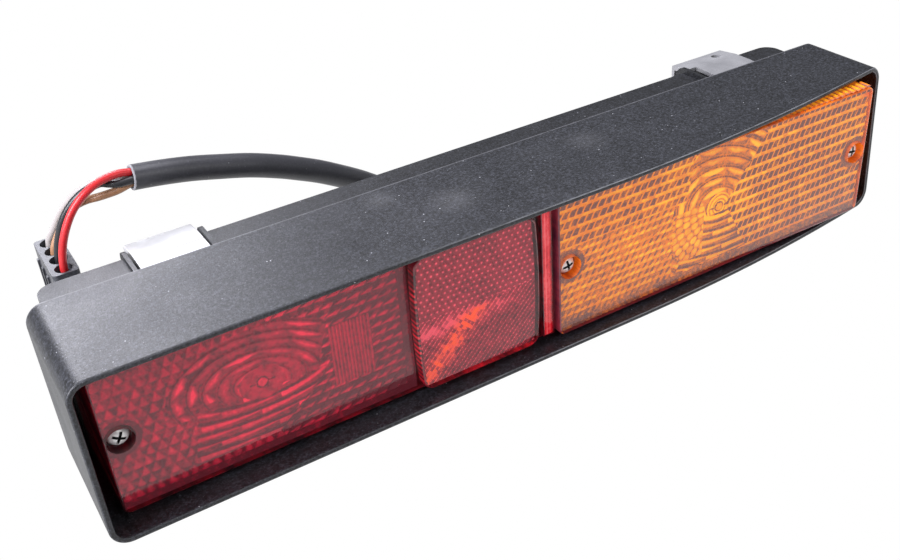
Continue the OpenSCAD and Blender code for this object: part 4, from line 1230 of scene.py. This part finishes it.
reflex_optic = optic("reflex_optic", (0.08, 0.008, 0.014), (0.3, 0.02, 0.036), (0.78, 0.09, 0.13),
                     (0.95, 0.1, 0.02))
toothed_wall = dyed_wall("toothed_wall", (0.12, 0.003, 0.008), (0.85, 0.02, 0.035), 0.35, 2.5)
shell = prism("reflex_skin", reflex_outline(), AMBER_Y, RED_Y, 0.9)
lens_skin("reflex_skin", shell, red_coat, red_wall, "reflex_red", "reflex_block", shaded=toothed_wall)
sheet = relief("reflex_optics", *REFLEX_SHEET, lambda x, z: 0.5 * reflex_pattern(x, z)[1],
               lambda x, z: reflex_pattern(x, z)[0], facing_front(AMBER_Y + SINK), 0.28,
               inside_reflex, lambda x, z: reflex_pattern(x, z)[2])
add_mesh("reflex_optics", sheet, reflex_optic, "reflex_red")
print("the reflex block is", REFLEX_W, "by", REFLEX_H, "mm")

# %% [markdown]
# ## Amber lens
# The indicator lens is made as the red one is. It stands 4.5 mm further forward, and its
# left and lower walls look dark red, because they mirror the red lens and the hood beside
# them. They get a wall of their own for that.

# %% Amber lens
amber_coat = clear_coat("amber_coat", (0.99, 0.93, 0.86), (0.4, 0.2, 0.15), 0.02)
amber_wall = dyed_wall("amber_wall", (0.42, 0.05, 0.003), (0.95, 0.22, 0.01), 0.3)
amber_shade = dyed_wall("amber_shade", (0.08, 0.008, 0.022), (0.24, 0.025, 0.04), 0.2)
amber_optic = optic("amber_optic", (0.15, 0.06, 0.055), (0.74, 0.19, 0.014), (1.0, 0.5, 0.014),
                    (0.7, 0.1, 0.02))
shell = prism("amber_lens_skin", outline(*AMBER_X, *LENS_Z, LENS_R), AMBER_Y, LENS_REAR_Y, LENS_EDGE,
              screw_wells[1:])
lens_skin("amber_lens_skin", shell, amber_coat, amber_wall, "lens_amber", "amber_lens",
          shaded=amber_shade)


def amber_warm(x, z):
    """Redder along the foot's left part and in the upper right corner."""
    return ramp(-z, -9, -6) * ramp(-x, -340, -270) + ramp(x, 379, 385) * ramp(z, 60, 67)


sheet = relief("amber_optics", AMBER_X[0] + 1, AMBER_X[1] - 1, LENS_Z[0] + 1, LENS_Z[1] - 1,
               lambda x, z: RIDGE * amber_prisms(x, z)[1], amber_tone,
               facing_front(AMBER_Y + SINK), 0.37, off_screws, amber_warm)
add_mesh("amber_optics", sheet, amber_optic, "lens_amber")
print("amber optics:", len(sheet.polygons), "faces")

# %% [markdown]
# ## Ribbed edge of the amber lens
# At the right end the hood's rim sweeps back and uncovers the lens's upper wall, which
# has upright ribs. The same relief makes them, laid flat on top of the wall.

# %% Ribbed edge of the amber lens
RIB_PITCH, RIBS_START = 3.5, 322


def rib_shape(x):
    """0 between two ribs, and 1 on the top of one."""
    return np.sin(np.pi * frac(x / RIB_PITCH))


def rib_tone(x, y):
    """Bright on the ribs, and darker at the lens's corner."""
    return 0.12 + 0.62 * rib_shape(x) * ramp(y, -51, -48.5) - 0.2 * ramp(x, 380, 388)


sheet = relief("amber_edge_ribs", RIBS_START, AMBER_X[1] - 1.5, AMBER_Y + 0.6, AMBER_Y + 7,
               lambda x, y: 0.7 * rib_shape(x), rib_tone,
               lambda x, y, h: (x, y, LENS_Z[1] + h - 0.1), 0.3)
add_mesh("amber_edge_ribs", sheet, amber_optic, "lens_amber")
print("the amber lens has ribs", RIB_PITCH, "mm apart along its upper edge")

# %% [markdown]
# ## White surroundings
# The photograph has a plain white ground. The world and the floor are white to the
# camera, and the floor also in reflections, because the lenses mirror it as a pale haze.
# To every other ray the floor is a pale grey sheet and the world a weak, slightly cool
# light, so that the white costs the lamp none of its colour.

# %% World
world = bpy.data.worlds.new("studio")
scene.world = world
world.use_nodes = True
tree = world.node_tree
tree.nodes.clear()
out = tree.nodes.new("ShaderNodeOutputWorld")
soft = tree.nodes.new("ShaderNodeBackground")
soft.inputs["Color"].default_value = (0.95, 0.97, 1.0, 1)
soft.inputs["Strength"].default_value = 0.22
seen = tree.nodes.new("ShaderNodeBackground")
seen.inputs["Color"].default_value = (1, 1, 1, 1)
seen.inputs["Strength"].default_value = 1.0
path = tree.nodes.new("ShaderNodeLightPath")
mix = tree.nodes.new("ShaderNodeMixShader")
tree.links.new(path.outputs["Is Camera Ray"], mix.inputs[0])
tree.links.new(soft.outputs[0], mix.inputs[1])
tree.links.new(seen.outputs[0], mix.inputs[2])
tree.links.new(mix.outputs[0], out.inputs["Surface"])
print("the world lights the lamp at", round(soft.inputs["Strength"].default_value, 2))

# %% Floor
FLOOR_Z, FLOOR_HALF = -0.0376, 4
net = Net("pale_floor")
paper = net.mix(net.noise(40, 3), (0.42, 0.42, 0.43), (0.48, 0.48, 0.49))
pale = net.principled(Base_Color=paper, Roughness=0.9)
white = net.node("ShaderNodeEmission", {"Color": (1, 1, 1, 1), "Strength": 1.0}).outputs[0]
rays = net.node("ShaderNodeLightPath").outputs
looked_at = net.math("MAXIMUM", rays["Is Camera Ray"], rays["Is Glossy Ray"])
net.finish(net.node("ShaderNodeMixShader", {0: looked_at, 1: pale, 2: white}).outputs[0])
floor_mesh = bpy.data.meshes.new("floor")
square = [(x * FLOOR_HALF, y * FLOOR_HALF, FLOOR_Z) for x, y in ((-1, -1), (1, -1), (1, 1), (-1, 1))]
floor_mesh.from_pydata(square, [], [(0, 1, 2, 3)])
floor_mesh.materials.append(net.mat)
floor = placed("floor", floor_mesh)
print("the floor lies at", FLOOR_Z * 1000, "mm")

# %% [markdown]
# ## Lamps
# One large soft lamp hangs above, one stands behind and lights the rear of the hood's
# top, one on the left greys its left end, and a weak one fills in from the front. Large
# lamps give soft edges to every shadow, as a tent does.

# %% Lamps


def softbox(name, place, target, size, power, colour=(1, 1, 1)):
    """A rectangular lamp that looks at the target."""
    data = bpy.data.lights.new(name, "AREA")
    data.shape = "RECTANGLE"
    data.size, data.size_y = size
    data.energy = power
    data.color = colour
    lamp = placed(name, data)
    lamp.location = place
    lamp.rotation_euler = (Vector(target) - Vector(place)).to_track_quat("-Z", "Y").to_euler()


COOL = (0.95, 0.95, 1.04)
softbox("overhead", (0.0, 0.2, 1.1), (0, 0, 0), (1.2, 0.8), 13, COOL)
softbox("back_panel", (-0.19, 1.0, 0.66), (-0.16, 0, 0), (0.6, 0.5), 11, COOL)
softbox("left_panel", (-0.9, -0.1, 0.45), (-0.15, 0, 0), (0.5, 0.5), 14, COOL)
softbox("front_fill", (0.35, -1.1, 0.7), (0.05, 0, 0), (1.0, 0.7), 4)

# %% [markdown]
